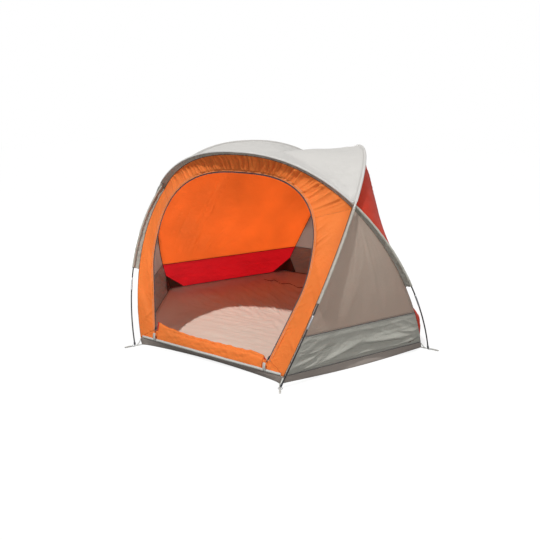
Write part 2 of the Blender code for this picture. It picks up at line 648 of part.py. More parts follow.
for side, name in ((1, "right"), (-1, "left")):
    place, up, way_in = on_coil(side, SLIDER_START)
    across = way_in * -side
    frame = Matrix.Translation(place) @ Matrix((across, -outward, up)).transposed().to_4x4()
    slider = box(f"{name}_slider", (SLIDER_WIDTH, SLIDER_DEPTH, SLIDER_LENGTH), Vector(), tent)
    over = SLIDER_LENGTH * 2
    boolean(slider, rod(f"{name}_slider_bore", SLIDER_BORE, over, None), "DIFFERENCE")
    slot = box(f"{name}_slider_slot", (SLIDER_WIDTH, SLIDER_SLOT, over), Vector((side * SLIDER_WIDTH / 2, 0.0, 0.0)))
    boolean(slider, slot, "DIFFERENCE")
    top = SLIDER_DEPTH / 2 + BAIL_HEIGHT
    rise = BAIL_HEIGHT + BAIL_BAR
    bail = box(
        f"{name}_slider_bail", (BAIL_SPAN, rise, BAIL_BAR),
        Vector((0.0, -(top + BAIL_BAR / 2 - rise / 2), 0.0)),
    )
    boolean(slider, bail, "UNION")
    window = box(
        f"{name}_slider_window", (BAIL_SPAN - BAIL_BAR * 2, BAIL_HEIGHT - BAIL_BAR / 2, over),
        Vector((0.0, -(SLIDER_DEPTH / 2 + (BAIL_HEIGHT - BAIL_BAR / 2) / 2), 0.0)),
    )
    boolean(slider, window, "DIFFERENCE")
    slider.matrix_world = frame
    axis_place = Vector((0.0, -top, 0.0))
    pull = box(
        f"{name}_pull", (PULL_WIDTH, PULL_THICK, PULL_LENGTH - PULL_NECK),
        Vector((0.0, 0.0, -(PULL_LENGTH + PULL_NECK) / 2)), tent,
    )
    neck = box(f"{name}_pull_neck", (EYE_LENGTH, PULL_THICK, PULL_NECK_FULL), Vector((0.0, 0.0, -PULL_NECK_FULL / 2)))
    boolean(pull, neck, "UNION")
    boolean(pull, rod(f"{name}_pull_eye", EYE_RADIUS, EYE_LENGTH, "Y"), "UNION")
    boolean(pull, rod(f"{name}_pull_bore", EYE_BORE, EYE_LENGTH * 2, "Y"), "DIFFERENCE")
    pull.matrix_world = frame @ Matrix.Translation(axis_place)

# Feet: a pin and ring of wire in each pole's end, and the webbing that ties it to the tent
for leg in range(6):
    first = -1.0 if leg % 2 else 1.0
    k = (leg - 1) // 2 + 2 if leg % 2 else leg // 2
    start = HOOP_LENGTH - TIP_START if leg % 2 else TIP_START
    base = pole_at(start)
    along = (pole_at(start + first * TIP_LENGTH) - base).normalized()
    heel = base - along * ((base.z - WIRE_RADIUS * 2) / along.z)
    path = [base + along * (PIN_REACH - TIP_START), heel]
    for i in range(1, RING_STEPS + 1):
        angle = math.pi + RING_ARC * i / RING_STEPS
        reach = Vector((first * (1 + math.cos(angle)), first * math.sin(angle), 0.0)) * RING_RADIUS
        path.append(heel + reach)
    wire(f"foot_pin_{leg + 1}", [turn(p, k) for p in path], WIRE_RADIUS, STEEL)

    spin = Matrix.Rotation(SIXTH * leg, 3, "Z")
    side_way = spin @ Vector((0.0, 1.0, 0.0)) * (STRAP_WIDTH / 2)
    low = WEB_THICK
    inner, ring_end = FOOT_RADIUS - SEAM_INSET + FABRIC, FOOT_RADIUS + RING_RADIUS * 2
    far = ring_end + LOOP_LENGTH
    line = [
        (inner, low), (FOOT_RADIUS - RING_RADIUS * 2, low), (far, low), (far + LOOP_RISE / 3, LOOP_RISE / 2),
        (far, LOOP_RISE), (FOOT_RADIUS + RING_RADIUS * 1.3, LOOP_RISE), (FOOT_RADIUS + RING_RADIUS, LOOP_RISE / 2),
    ]
    rows = [[spin @ Vector((r, 0.0, z)) - side_way, spin @ Vector((r, 0.0, z)) + side_way] for r, z in line]
    webbing = sheet(f"corner_webbing_{leg + 1}", rows, WEBBING, thick=WEB_THICK)
    hold = ground[leg].lerp(brim[leg], STRAP_RISE / HEM_HEIGHT) + spin @ Vector((FABRIC, 0.0, 0.0))
    foot = spin @ Vector((FOOT_RADIUS - RING_RADIUS * 1.5, 0.0, low))
    strap = sheet(f"corner_strap_{leg + 1}", [[hold - side_way, hold + side_way], [foot - side_way, foot + side_way]],
                  WEBBING, thick=WEB_THICK)
    link(strap, WEBBING, home=cutters)
    boolean(webbing, strap, "UNION")
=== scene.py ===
"""Dresses the beach tent's fixed frame: cloth, poles, zipper, feet, floor, light and camera."""
import math

import bmesh
import bpy
import numpy
from mathutils import Matrix, Vector, noise


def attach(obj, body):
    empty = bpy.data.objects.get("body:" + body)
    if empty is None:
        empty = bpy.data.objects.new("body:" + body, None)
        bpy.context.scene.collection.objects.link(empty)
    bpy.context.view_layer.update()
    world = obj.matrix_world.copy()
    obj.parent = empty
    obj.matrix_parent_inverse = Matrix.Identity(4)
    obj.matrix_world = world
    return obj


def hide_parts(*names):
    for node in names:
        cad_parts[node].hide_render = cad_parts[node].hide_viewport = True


bl_info = {
    "name": "Beach tent dressing",
    "version": (1, 0, 0),
    "blender": (4, 5, 0),
    "location": "View3D > Sidebar > Tent",
    "description": "Builds the cloth, poles, trims and studio of a six-sided beach tent",
    "category": "Object",
}

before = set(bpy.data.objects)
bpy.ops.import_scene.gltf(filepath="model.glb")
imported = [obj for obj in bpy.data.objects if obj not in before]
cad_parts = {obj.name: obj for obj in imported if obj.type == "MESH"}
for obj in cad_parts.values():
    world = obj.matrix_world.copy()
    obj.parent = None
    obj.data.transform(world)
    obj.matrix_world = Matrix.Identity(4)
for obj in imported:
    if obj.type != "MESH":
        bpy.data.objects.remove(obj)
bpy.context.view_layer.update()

# The part's own lines, in metres: these repeat the part's source and aren't changed here
FOOT_RADIUS = 1.200
HOOP_RISE = 1.4737
HOOP_LEAN = math.radians(23.34)
HOOP_POWER = 0.8678
POLE_RADIUS = 0.00475
SECTION_LENGTH = 0.6744
INNER_SECTIONS = 5
FERRULE_RADIUS = 0.0060
FERRULE_LENGTH = 0.090
TIP_RADIUS = 0.0068
TIP_LENGTH = 0.022
TIP_START = 0.009
WEAVE = 0.0076
SEAM_INSET = 0.050
ARCH_INSET = 0.018
INSET_POWER = 3
SLEEVE_START = 0.570
SLEEVE_RADIUS = 0.0082
CROSS_CLEAR = 0.034
HEM_HEIGHT = 0.050
BAND_HEIGHT = 0.300
APEX_CLEAR = 0.030
ROOF_CROWN = 0.050
WALL_DISH = 0.050
DOOR_BASE = -1.010
DOOR_SLOPE = 0.40
DOOR_FOOT = (0.480, 0.120)
JAMB_SLOPE = 0.330
JAMB_TOP = 0.500
DOOR_HALF = 0.637
DOOR_WIDEST = 0.700
DOOR_RISE = 0.524
DOOR_POWER = 2.7
HEADER_HEIGHT = 0.985
WIRE_RADIUS = 0.0016
PIN_REACH = 0.040
RING_RADIUS = 0.013
STRAP_WIDTH = 0.012
LOOP_LENGTH = 0.048
LOOP_RISE = 0.0062
THIRD = math.radians(120)
SIXTH = math.radians(60)
HOOPS = ("front", "right", "left")


def turn(point, k):
    """A point of the front hoop's frame, turned by k thirds about the tent's upright axis."""
    return Matrix.Rotation(THIRD * k, 3, "Z") @ Vector(point)


def hoop_point(t, inset=0.0):
    """Point of the front hoop at t, from 0 at its +X foot to pi at the other, or of a line inside it."""
    c = math.cos(t)
    across = math.copysign((FOOT_RADIUS - inset) * abs(c) ** HOOP_POWER, c)
    up = (HOOP_RISE - inset) * math.sin(t)
    return Vector((across, -up * math.sin(HOOP_LEAN), up * math.cos(HOOP_LEAN)))


def seam_point(t):
    """Point of the wall seam that runs a strip's width inside the front pole."""
    return hoop_point(t, SEAM_INSET + (ARCH_INSET - SEAM_INSET) * math.sin(t) ** INSET_POWER)


def crossing(line):
    """The t at which a line of the front hoop meets the right hoop's."""
    low, high = 0.1, 1.5
    for _ in range(50):
        mid = (low + high) / 2
        p = line(mid)
        low, high = (mid, high) if p.x * 0.5 + p.y * math.cos(THIRD / 4) > 0 else (low, mid)
    return low


def between(x, xs, ys):
    """Straight interpolation in a rising table, for numbers or points."""
    i = min(max(int(numpy.searchsorted(xs, x)), 1), len(xs) - 1)
    share = min(max((x - xs[i - 1]) / (xs[i] - xs[i - 1]), 0.0), 1.0)
    return ys[i - 1] + (ys[i] - ys[i - 1]) * share


FINE = 4000
fine_t = [math.pi * i / FINE for i in range(FINE + 1)]
fine_p = [hoop_point(t) for t in fine_t]
fine_s = [0.0]
for p0, p1 in zip(fine_p, fine_p[1:]):
    fine_s.append(fine_s[-1] + (p1 - p0).length)
HOOP_LENGTH = fine_s[-1]
T_CROSS = crossing(hoop_point)
S_CROSS = between(T_CROSS, fine_t, fine_s)
S_CROSS_IN = between(crossing(seam_point), fine_t, fine_s)
tangent = (hoop_point(T_CROSS + 0.01) - hoop_point(T_CROSS - 0.01)).normalized()
cross_normal = tangent.cross(turn((-tangent.x, tangent.y, tangent.z), 1)).normalized()
cross_normal *= math.copysign(1.0, cross_normal.z)
hoop_normal = Vector((0.0, math.cos(HOOP_LEAN), math.sin(HOOP_LEAN)))


def t_at(s):
    return between(s, fine_s, fine_t)


def pole_at(s):
    """Middle of the front pole, which bows in and out to pass its neighbours."""
    t = t_at(s)
    bow = -WEAVE * math.sin(2 * t) / math.sin(2 * T_CROSS)
    c = math.cos(t) / math.cos(T_CROSS)
    return hoop_point(t) + bow * Vector((cross_normal.x * c, cross_normal.y, cross_normal.z))


def seam_at(s):
    return seam_point(t_at(s))


def s_at_height(height):
    return between(height, [seam_point(t).z for t in fine_t[:FINE // 2]], fine_s)


S_HEM = s_at_height(HEM_HEIGHT)
S_BAND = s_at_height(BAND_HEIGHT)


def leg_seam(leg, s):
    """Point of a leg's seam, s along its pole; the legs count round from the +X corner."""
    leg %= 6
    if leg % 2:
        return turn(seam_at(HOOP_LENGTH - s), (leg - 1) // 2 + 2)
    return turn(seam_at(s), leg // 2)


def spread(a, b, count):
    """Numbers from a to b in equal steps, both ends among them."""
    return [a + (b - a) * i / count for i in range(count + 1)]


def arch_seam(k, count):
    """Points of the seam under hoop k between its crossings, from the left to the right seen from outside."""
    return [turn(seam_at(s), k) for s in spread(HOOP_LENGTH - S_CROSS_IN, S_CROSS_IN, count)]


def along_line(points):
    """Share of a line's length at each of its points, and its length."""
    lengths = [0.0]
    for a, b in zip(points, points[1:]):
        lengths.append(lengths[-1] + (b - a).length)
    return [x / max(lengths[-1], 1e-9) for x in lengths], lengths[-1]


def door_point(x, z):
    return Vector((x, DOOR_BASE + DOOR_SLOPE * z, z))


def door_half():
    """Half of the door's edge as x and z, from its foot to its crown."""
    jamb = DOOR_FOOT[0] + JAMB_SLOPE * (JAMB_TOP - DOOR_FOOT[1])
    bend = JAMB_TOP + (DOOR_HALF - jamb) / JAMB_SLOPE
    half = [(a, b) for a, b in zip(spread(DOOR_FOOT[0], jamb, 24), spread(DOOR_FOOT[1], JAMB_TOP, 24))]
    for i in range(1, 13):
        u = i / 12
        half.append((jamb * (1 - u) ** 2 + DOOR_HALF * (1 - (1 - u) ** 2),
                     JAMB_TOP * (1 - u) ** 2 + bend * 2 * u * (1 - u) + DOOR_WIDEST * u ** 2))
    for i in range(1, 161):
        a = math.pi / 2 * i / 160
        half.append((DOOR_HALF * max(0.0, math.cos(a)) ** (2 / DOOR_POWER),
                     DOOR_WIDEST + DOOR_RISE * math.sin(a) ** (2 / DOOR_POWER)))
    return half


half_edge = door_half()
edge_line = [door_point(-x, z) for x, z in half_edge[:-1]] + [door_point(x, z) for x, z in reversed(half_edge)]
edge_share, EDGE_LENGTH = along_line(edge_line)
HEADER_SHARE = between(HEADER_HEIGHT, [z for _, z in half_edge], edge_share[:len(half_edge)])


def door_edge(share):
    """Point of the door's edge, from its left foot at 0 round to its right foot at 1."""
    return between(share, edge_share, edge_line)


OUTWARD = Vector((0.0, -1.0, DOOR_SLOPE)).normalized()


class TentSettings(bpy.types.PropertyGroup):
    """Sizes that a user would change."""
    cloth_thickness: bpy.props.FloatProperty(
        name="Cloth thickness", description="Thickness of every drawn panel", default=0.0005,
        min=0.0002, max=0.001, unit="LENGTH", subtype="DISTANCE", precision=4)
    wrinkle_depth: bpy.props.FloatProperty(
        name="Wrinkles", description="How far folds stand out, as a share of the photographed depth",
        default=1.0, min=0.0, max=1.5, subtype="FACTOR")
    stitch_pitch: bpy.props.FloatProperty(
        name="Stitch pitch", description="Distance from one stitch to the next", default=0.0052,
        min=0.003, max=0.02, unit="LENGTH", subtype="DISTANCE", precision=4)
    tooth_pitch: bpy.props.FloatProperty(
        name="Tooth pitch", description="Distance from one zipper tooth to the next", default=0.0028,
        min=0.0015, max=0.01, unit="LENGTH", subtype="DISTANCE", precision=4)


class TentColours(bpy.types.PropertyGroup):
    """Colours that a user would change."""


COLOURS = {
    "shell_orange": (0.95, 0.305, 0.062), "lining_crimson": (0.66, 0.020, 0.035), "band_crimson": (0.78, 0.075, 0.105),
    # The rear wall's orange below is the shell orange cloth made lighter and paler: painted light that stands for the
    # wall lit from behind.
    "rear_orange": (0.92, 0.36, 0.12), "shell_red": (0.66, 0.055, 0.024), "roof_grey": (0.57, 0.555, 0.53),
    "sleeve_grey": (0.42, 0.405, 0.355), "band_grey": (0.42, 0.415, 0.37), "mesh_taupe": (0.49, 0.42, 0.35),
    # The tub's outer colour below is partly the underside's own darker cloth and partly painted shade, darkened for the
    # shaded front under the hem.
    "floor_beige": (0.68, 0.62, 0.44), "coil_grey": (0.075, 0.08, 0.095), "tub_outer_painted_shade": (0.25, 0.215, 0.19),
    "webbing_grey": (0.48, 0.48, 0.45), "binding_grey": (0.60, 0.60, 0.56), "patch_brown": (0.085, 0.035, 0.022),
    "tape_dark": (0.045, 0.045, 0.055), "thread_dark": (0.035, 0.03, 0.03), "pole_black": (0.016, 0.016, 0.018),
    "steel": (0.43, 0.45, 0.47), "slider_dark": (0.30, 0.30, 0.31),
}
for key, rgb in COLOURS.items():
    words = key.replace("_", " ")
    TentColours.__annotations__[key] = bpy.props.FloatVectorProperty(
        name=words.capitalize(), description=f"Colour of the {words} finish", default=rgb,
        min=0.0, max=1.0, subtype="COLOR", size=3)


def settings():
    return bpy.context.scene.tent_settings


def colour(name):
    return (*getattr(bpy.context.scene.tent_colours, name), 1.0)


# Node trees and materials
def fill(tree, node, inputs):
    """Gives a node's inputs by name or number: a socket is linked and anything else is set."""
    for key, value in dict(inputs).items():
        if isinstance(value, bpy.types.NodeSocket):
            tree.links.new(value, node.inputs[key])
        else:
            node.inputs[key].default_value = value


def add(tree, kind, inputs=(), **properties):
    """A new node with its properties and its inputs."""
    node = tree.nodes.new(kind)
    for key, value in properties.items():
        setattr(node, key, value)
    fill(tree, node, inputs)
    return node


def number(tree, operation, *values, clamp=False):
    """What a Math node makes of its values."""
    return add(tree, "ShaderNodeMath", enumerate(values), operation=operation, use_clamp=clamp).outputs[0]


def new_group(name, inputs, outputs):
    """An empty shader node group with its named numbers in and out."""
    group = bpy.data.node_groups.new(name, "ShaderNodeTree")
    for label, value in inputs.items():
        group.interface.new_socket(label, in_out="INPUT", socket_type="NodeSocketFloat").default_value = value
    for label in outputs:
        group.interface.new_socket(label, in_out="OUTPUT", socket_type="NodeSocketFloat")
    return group, group.nodes.new("NodeGroupInput"), group.nodes.new("NodeGroupOutput")


def noise_node(tree, vector, scale, detail, rough=0.5, stretch=None):
    """A noise texture in metres, turned and drawn out by stretch where it is given."""
    if stretch:
        inputs = {"Vector": vector, "Rotation": (0.0, 0.0, stretch[0]), "Scale": (*stretch[1:], 1.0)}
        vector = add(tree, "ShaderNodeMapping", inputs).outputs[0]
    inputs = {"Vector": vector, "Scale": scale, "Detail": detail, "Roughness": rough}
    return add(tree, "ShaderNodeTexNoise", inputs).outputs["Fac"]


def weave_group():
    """Threads that cross over and under: height of the threads, and a mask of the gaps between them."""
    group, ins, outs = new_group("woven_threads", {"Pitch": 0.0006}, ("Height", "Gaps"))
    place = add(group, "ShaderNodeSeparateXYZ", {0: add(group, "ShaderNodeUVMap", uv_map="cloth").outputs[0]})
    turns = number(group, "DIVIDE", math.pi, ins.outputs["Pitch"])
    waves = [number(group, "SINE", number(group, "MULTIPLY", place.outputs[i], turns)) for i in (0, 1)]
    ridges = [number(group, "ABSOLUTE", wave) for wave in waves]
    fill(group, outs, {"Height": number(group, "MULTIPLY", *waves), "Gaps": number(group, "MULTIPLY", *ridges)})
    return group


def crumple_group():
    """Fine creases of thin coated cloth, sharp along their ridges, with its slow change of shade and its wear."""
    sizes = {"Crease": 14.0, "Fine": 60.0, "Shade": 2.2}
    group, ins, outs = new_group("crumpled_cloth", sizes, ("Height", "Shade", "Wear"))
    place = add(group, "ShaderNodeTexCoord").outputs["Object"]
    ridged = []
    for label, stretch in (("Crease", (0.6, 1.0, 0.35)), ("Fine", (-0.5, 0.4, 1.0))):
        value = noise_node(group, place, ins.outputs[label], 3.0, 0.55, stretch)
        away = number(group, "ABSOLUTE", number(group, "SUBTRACT", value, 0.5))
        ridge = number(group, "SUBTRACT", 1.0, number(group, "MULTIPLY", away, 4.0), clamp=True)
        ridged.append(number(group, "POWER", ridge, 2.0))
    fill(group, outs, {
        "Height": number(group, "ADD", ridged[0], number(group, "MULTIPLY", ridged[1], 0.3)),
        "Shade": noise_node(group, place, ins.outputs["Shade"], 2.0),
        "Wear": noise_node(group, place, 9.0, 6.0, 0.7),
    })
    return group


GROUPS = {"woven_threads": weave_group, "crumpled_cloth": crumple_group}


def group_node(tree, name, **values):
    """A node of a shared group, which is built when it is first asked for."""
    group = bpy.data.node_groups.get(name) or GROUPS[name]()
    return add(tree, "ShaderNodeGroup", values, node_tree=group)


def shaded(tree, tint, mask, low, high):
    """The colour tint, drawn toward a darker and a lighter one by a mask."""
    ramp = add(tree, "ShaderNodeValToRGB", {0: mask})
    for element, place, share in zip(ramp.color_ramp.elements, (0.30, 0.72), (low, high)):
        element.position = place
        element.color = (*[min(1.0, c * share) for c in tint[:3]], 1.0)
    return ramp.outputs[0]


def start_material(name):
    mat = bpy.data.materials.new(name)
    mat.use_nodes = True
    return mat, mat.node_tree, mat.node_tree.nodes["Principled BSDF"]


def mixed(tree, share, first, second):
    """Two surfaces in one, the second in its share, as what the material shows."""
    surface = add(tree, "ShaderNodeMixShader", {0: share, 1: first, 2: second}).outputs[0]
    fill(tree, tree.nodes["Material Output"], {"Surface": surface})


def bumped(tree, height, strength, distance, **normal):
    """A normal moved by a height in metres."""
    inputs = {"Height": height, "Strength": strength, "Distance": distance, **normal}
    return add(tree, "ShaderNodeBump", inputs).outputs[0]


def cloth_material(name, tint, glow=0.0, rough=0.62, creases=1.0, pitch=0.0006, open_share=0.0, spread_shade=0.08,
                   sheen=0.04, gloss=0.22):
    """Woven cloth: threads and creases in its relief, a slow shade, and light that comes through it."""
    mat, tree, shader = start_material(name)
    threads, creased = group_node(tree, "woven_threads", Pitch=pitch), group_node(tree, "crumpled_cloth")
    base = shaded(tree, tint, creased.outputs["Shade"], 1 - spread_shade, 1 + spread_shade)
    coarse = bumped(tree, creased.outputs["Height"], 0.9, 0.0016 * creases)
    fine = bumped(tree, threads.outputs["Height"], 0.5, pitch * 0.12, Normal=coarse)
    fill(tree, shader, {
        "Base Color": base, "Roughness": number(tree, "MULTIPLY_ADD", creased.outputs["Wear"], 0.2, rough - 0.1),
        "Sheen Weight": sheen, "Sheen Roughness": 0.5, "Specular IOR Level": gloss, "Normal": fine,
    })
    if open_share:
        solid = number(tree, "MULTIPLY_ADD", threads.outputs["Gaps"], -0.12, 1.05 - open_share)
        fill(tree, shader, {"Alpha": solid})
    if glow:
        through = add(tree, "ShaderNodeBsdfTranslucent", {"Color": base, "Normal": fine})
        mixed(tree, glow, shader.outputs[0], through.outputs[0])
    return mat


def hard_material(name, tint, rough, metallic=0.0, coat=0.0, grain=160.0):
    """Metal, glass fibre or thread: fine scuffs in its colour, roughness and relief."""
    mat, tree, shader = start_material(name)
    scuffs = noise_node(tree, add(tree, "ShaderNodeTexCoord").outputs["Object"], grain, 5.0, 0.65)
    fill(tree, shader, {
        "Base Color": shaded(tree, tint, scuffs, 0.85, 1.2),
        "Roughness": number(tree, "MULTIPLY_ADD", scuffs, 0.3, rough - 0.15),
        "Metallic": metallic, "Coat Weight": coat, "Normal": bumped(tree, scuffs, 0.4, 0.0002),
    })
    return mat


# Each finish by its plain name: what makes it, its material's name, its colour and its values
FINISHES = {
    "shell_orange": (cloth_material, "shell_orange_cloth", "shell_orange", dict(glow=0.42)),
    # Painted light: the shell orange cloth in a lighter, paler copy for the rear wall lit from behind.
    "rear_orange": (cloth_material, "rear_orange_cloth", "rear_orange", dict(glow=0.62)),
    "door_crimson": (cloth_material, "door_crimson_cloth", "lining_crimson", dict(glow=0.2)),
    "band_crimson": (cloth_material, "band_crimson_cloth", "band_crimson", dict(glow=0.55)),
    "shell_red": (cloth_material, "shell_red_cloth", "shell_red", dict(glow=0.35)),
    "roof_grey": (cloth_material, "roof_cloth", "roof_grey", dict(glow=0.03, creases=0.7, spread_shade=0.03)),
    "sleeve_grey": (cloth_material, "sleeve_cloth", "sleeve_grey", dict(glow=0.1, creases=1.2)),
    "band_grey": (cloth_material, "band_grey_cloth", "band_grey", dict(glow=0.25, creases=1.3)),
    "mesh_taupe": (cloth_material, "insect_mesh", "mesh_taupe", dict(
        glow=0.35, pitch=0.0026, open_share=0.28, creases=0.8, spread_shade=0.05, rough=0.45, gloss=0.5)),
    "floor_beige": (cloth_material, "floor_sheet", "floor_beige", dict(
        rough=0.5, creases=0.9, pitch=0.0022, spread_shade=0.05, sheen=0.05)),
    # Partly painted shade: the underside cloth darkened for the shaded front under the hem.
    "tub_outer_painted_shade": (cloth_material, "floor_underside", "tub_outer_painted_shade", dict(rough=0.5, pitch=0.0022)),
    "webbing_grey": (cloth_material, "webbing", "webbing_grey", dict(pitch=0.0016, creases=0.3)),
    "binding_grey": (cloth_material, "binding", "binding_grey", dict(pitch=0.0011, creases=0.5)),
    "patch_brown": (cloth_material, "corner_patch", "patch_brown", dict(rough=0.5, creases=0.8)),
    "tape_dark": (cloth_material, "zipper_tape", "tape_dark", dict(pitch=0.0009, creases=0.2, sheen=0.1)),
    "thread_dark": (hard_material, "thread_dark", "thread_dark", dict(rough=0.7, grain=900.0)),
    "thread_pale": (hard_material, "thread_pale", "binding_grey", dict(rough=0.7, grain=900.0)),
    "pole_black": (hard_material, "pole_glass_fibre", "pole_black", dict(rough=0.33, coat=0.3, grain=60.0)),
    "steel": (hard_material, "bright_steel", "steel", dict(rough=0.30, metallic=1.0)),
    "coil_grey": (hard_material, "zipper_coil", "coil_grey", dict(rough=0.45, grain=500.0)),
    "slider_dark": (hard_material, "slider_metal", "slider_dark", dict(rough=0.38, metallic=0.9, grain=300.0)),
}


def look(key):
    """The finish of a piece by its plain name."""
    maker, name, tint, values = FINISHES[key]
    return bpy.data.materials.get(name) or maker(name, colour(tint), **values)


# Cloth panels: a grid of points, its folds and its map in metres
def ripple(x, y, angle, long, short, seed):
    """Soft random folds that run along an angle: long and short are their length and width."""
    c, s = math.cos(angle), math.sin(angle)
    return noise.noise(Vector(((x * c + y * s) / long, (y * c - x * s) / short, seed)))


def pleat(x, y, angle, long, short, seed):
    """Random gathers with sharp crests, from 0 to 1."""
    return max(0.0, 1.0 - 3.2 * abs(ripple(x, y, angle, long, short, seed))) ** 1.5


def fold(x, y, x0, y0, x1, y1, width, depth, lean=0.35):
    """One fold along a line, steeper on one side, that dies out at its ends."""
    dx, dy = x1 - x0, y1 - y0
    length = math.hypot(dx, dy)
    along = ((x - x0) * dx + (y - y0) * dy) / length ** 2
    if not -0.1 < along < 1.1:
        return 0.0
    off = ((x - x0) * dy - (y - y0) * dx) / length / width
    ends = math.sin(math.pi * min(max((along + 0.1) / 1.2, 0.0), 1.0))
    return depth * ends * math.exp(-off * off) * (1.0 + lean * math.sin(2.0 * off))


def folds(x, y, table):
    return sum(fold(x, y, *row) for row in table)


def fade(u, rate, base=0.0):
    """A factor that falls off toward both ends of a panel, u being a share of its width or height."""
    return min(1.0, min(u, 1 - u) * rate + base)


def grid_sizes(rows):
    """The map of a grid in metres: x along its middle row from the left, y along its middle column from below."""
    shares_x, wide = along_line(rows[len(rows) // 2])
    shares_y, tall = along_line([row[len(row) // 2] for row in rows])
    return [s * wide for s in shares_x], [s * tall for s in shares_y]


def grid_normals(rows):
    """Way out of the surface at each grid point: rows run to the right and columns up, seen from outside."""
    found = []
    for j, row in enumerate(rows):
        low, high, last = rows[max(j - 1, 0)], rows[min(j + 1, len(rows) - 1)], len(row) - 1
        found.append([
            (row[min(i + 1, last)] - row[max(i - 1, 0)]).cross(high[i] - low[i]).normalized() for i in range(len(row))])
    return found


def relieved(rows, relief):
    """The grid moved along its own normals by relief(x, y, u, v), in metres and shares of the panel."""
    if relief is None:
        return rows
    xs, ys = grid_sizes(rows)
    ways = grid_normals(rows)
    depth = settings().wrinkle_depth
    return [[
        p + n * (depth * relief(x, y, x / xs[-1], y / ys[-1])) for p, n, x in zip(row, line, xs)
    ] for row, line, y in zip(rows, ways, ys)]


def linked(name, data):
    """An object of its data, put in the scene."""
    obj = bpy.data.objects.new(name, data)
    bpy.context.scene.collection.objects.link(obj)
    return obj


def from_bmesh(name, bm):
    mesh = bpy.data.meshes.new(name)
    bm.to_mesh(mesh)
    bm.free()
    return linked(name, mesh)


def grid_object(name, rows, closed=False, map_rows=None):
    """A mesh through rows of points, mapped in metres, its equal points welded."""
    xs, ys = grid_sizes(map_rows or rows)
    bm = bmesh.new()
    layer = bm.loops.layers.uv.new("cloth")
    made = [[bm.verts.new(p) for p in row] for row in rows]
    count = len(rows[0])
    step = xs[-1] / max(count - 1, 1)
    for j in range(len(rows) - 1):
        for i in range(count if closed else count - 1):
            n = (i + 1) % count
            far = xs[i] + step if closed else xs[n]
            corners = ((j, i, xs[i]), (j, n, far), (j + 1, n, far), (j + 1, i, xs[i]))
            face = bm.faces.new([made[r][c] for r, c, _ in corners])
            face.smooth = True
            for loop, (r, _, x) in zip(face.loops, corners):
                loop[layer].uv = (x, ys[r])
    bmesh.ops.remove_doubles(bm, verts=bm.verts, dist=1e-6)
    return from_bmesh(name, bm)


def dress(obj, finish, slot, *nodes, body="tent"):
    """Gives a piece its finish and the body it rides on, and hides the CAD nodes it stands for; its slot is not used.
    """
    obj.data.materials.clear()
    obj.data.materials.append(look(finish))
    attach(obj, body)
    if nodes:
        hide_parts(*nodes)
    return obj


def thicken(obj, thickness=None):
    shell = obj.modifiers.new("thickness", "SOLIDIFY")
    shell.thickness = thickness or settings().cloth_thickness
    shell.offset = 0.0


def cloth(name, rows, finish, slot, nodes, relief=None, closed=False):
    """A whole panel of cloth and its finished grid. Its cut size is the panel's before its folds are put in."""
    finished = relieved(rows, relief)
    obj = grid_object(name, finished, closed, rows)
    dress(obj, finish, slot, *nodes)
    thicken(obj)
    return obj, finished


def ruled(first, second, count):
    """Rows from one line of points to another."""
    return [[a.lerp(b, v) for a, b in zip(first, second)] for v in spread(0.0, 1.0, count)]


def straight(first, second, count):
    """Points on the straight line between two."""
    return [first.lerp(second, u) for u in spread(0.0, 1.0, count)]


def finer(rows, times):
    """More rows between rows of points, on smooth curves through them."""
    made = []
    for j in range(len(rows) - 1):
        near = rows[max(j - 1, 0)], rows[j], rows[j + 1], rows[min(j + 2, len(rows) - 1)]
        for q in range(times):
            u = q / times
            w = (-0.5 * u + u * u - 0.5 * u ** 3, 1 - 2.5 * u * u + 1.5 * u ** 3,
                 0.5 * u + 2 * u * u - 1.5 * u ** 3, -0.5 * u * u + 0.5 * u ** 3)
            made.append([a * w[0] + b * w[1] + c * w[2] + d * w[3] for a, b, c, d in zip(*near)])
    return made + [list(rows[-1])]


def smooth_path(points, steps=8):
    """More points on a smooth curve through points."""
    return [row[0] for row in finer([[p] for p in points], steps)]


def coons(low, high, left, right):
    """A smooth panel between its four edges: low and high run to the right, left and right run up."""
    us, vs = along_line(low)[0], along_line(left)[0]
    rows = []
    for v, a, b in zip(vs, left, right):
        row = []
        for u, p, q in zip(us, low, high):
            corners = low[0].lerp(low[-1], u) * (1 - v) + high[0].lerp(high[-1], u) * v
            row.append(p * (1 - v) + q * v + a.lerp(b, u) - corners)
        rows.append(row)
    return rows


def ring(place, along, side, radius, sides):
    """Points of a circle square to a line, the first one on the given side."""
    first = (side - along * side.dot(along)).normalized()
    second = along.cross(first)
    return [place + (first * math.cos(a) + second * math.sin(a)) * radius for a in spread(0, 2 * math.pi, sides)[:-1]]


def capped(rows):
    """Rings closed at both ends by their middles."""
    ends = [[sum(row, Vector()) / len(row)] * len(row) for row in (rows[0], rows[-1])]
    return [ends[0]] + rows + [ends[1]]


def rounded_tube(name, rings, sides=16):
    """A closed round bar through rings of (place, direction, radius, first side way)."""
    rows = [ring(place, along, side, radius, sides) for place, along, radius, side in rings]
    return grid_object(name, capped(rows), closed=True)


def directions(points):
    """Way along a line at each of its points."""
    last = len(points) - 1
    return [(points[min(i + 1, last)] - points[max(i - 1, 0)]).normalized() for i in range(len(points))]


def flat_band(name, points, way, width, thickness, finish, node):
    """Webbing or tape: a band of one width along points, way being the direction across it."""
    obj = grid_object(name, [[p - way * width / 2, p, p + way * width / 2] for p in points])
    dress(obj, finish, finish, node)
    thicken(obj, thickness)


# Geometry Nodes: stitches and zipper teeth repeat along a line
STITCH_LIFT = 0.0004


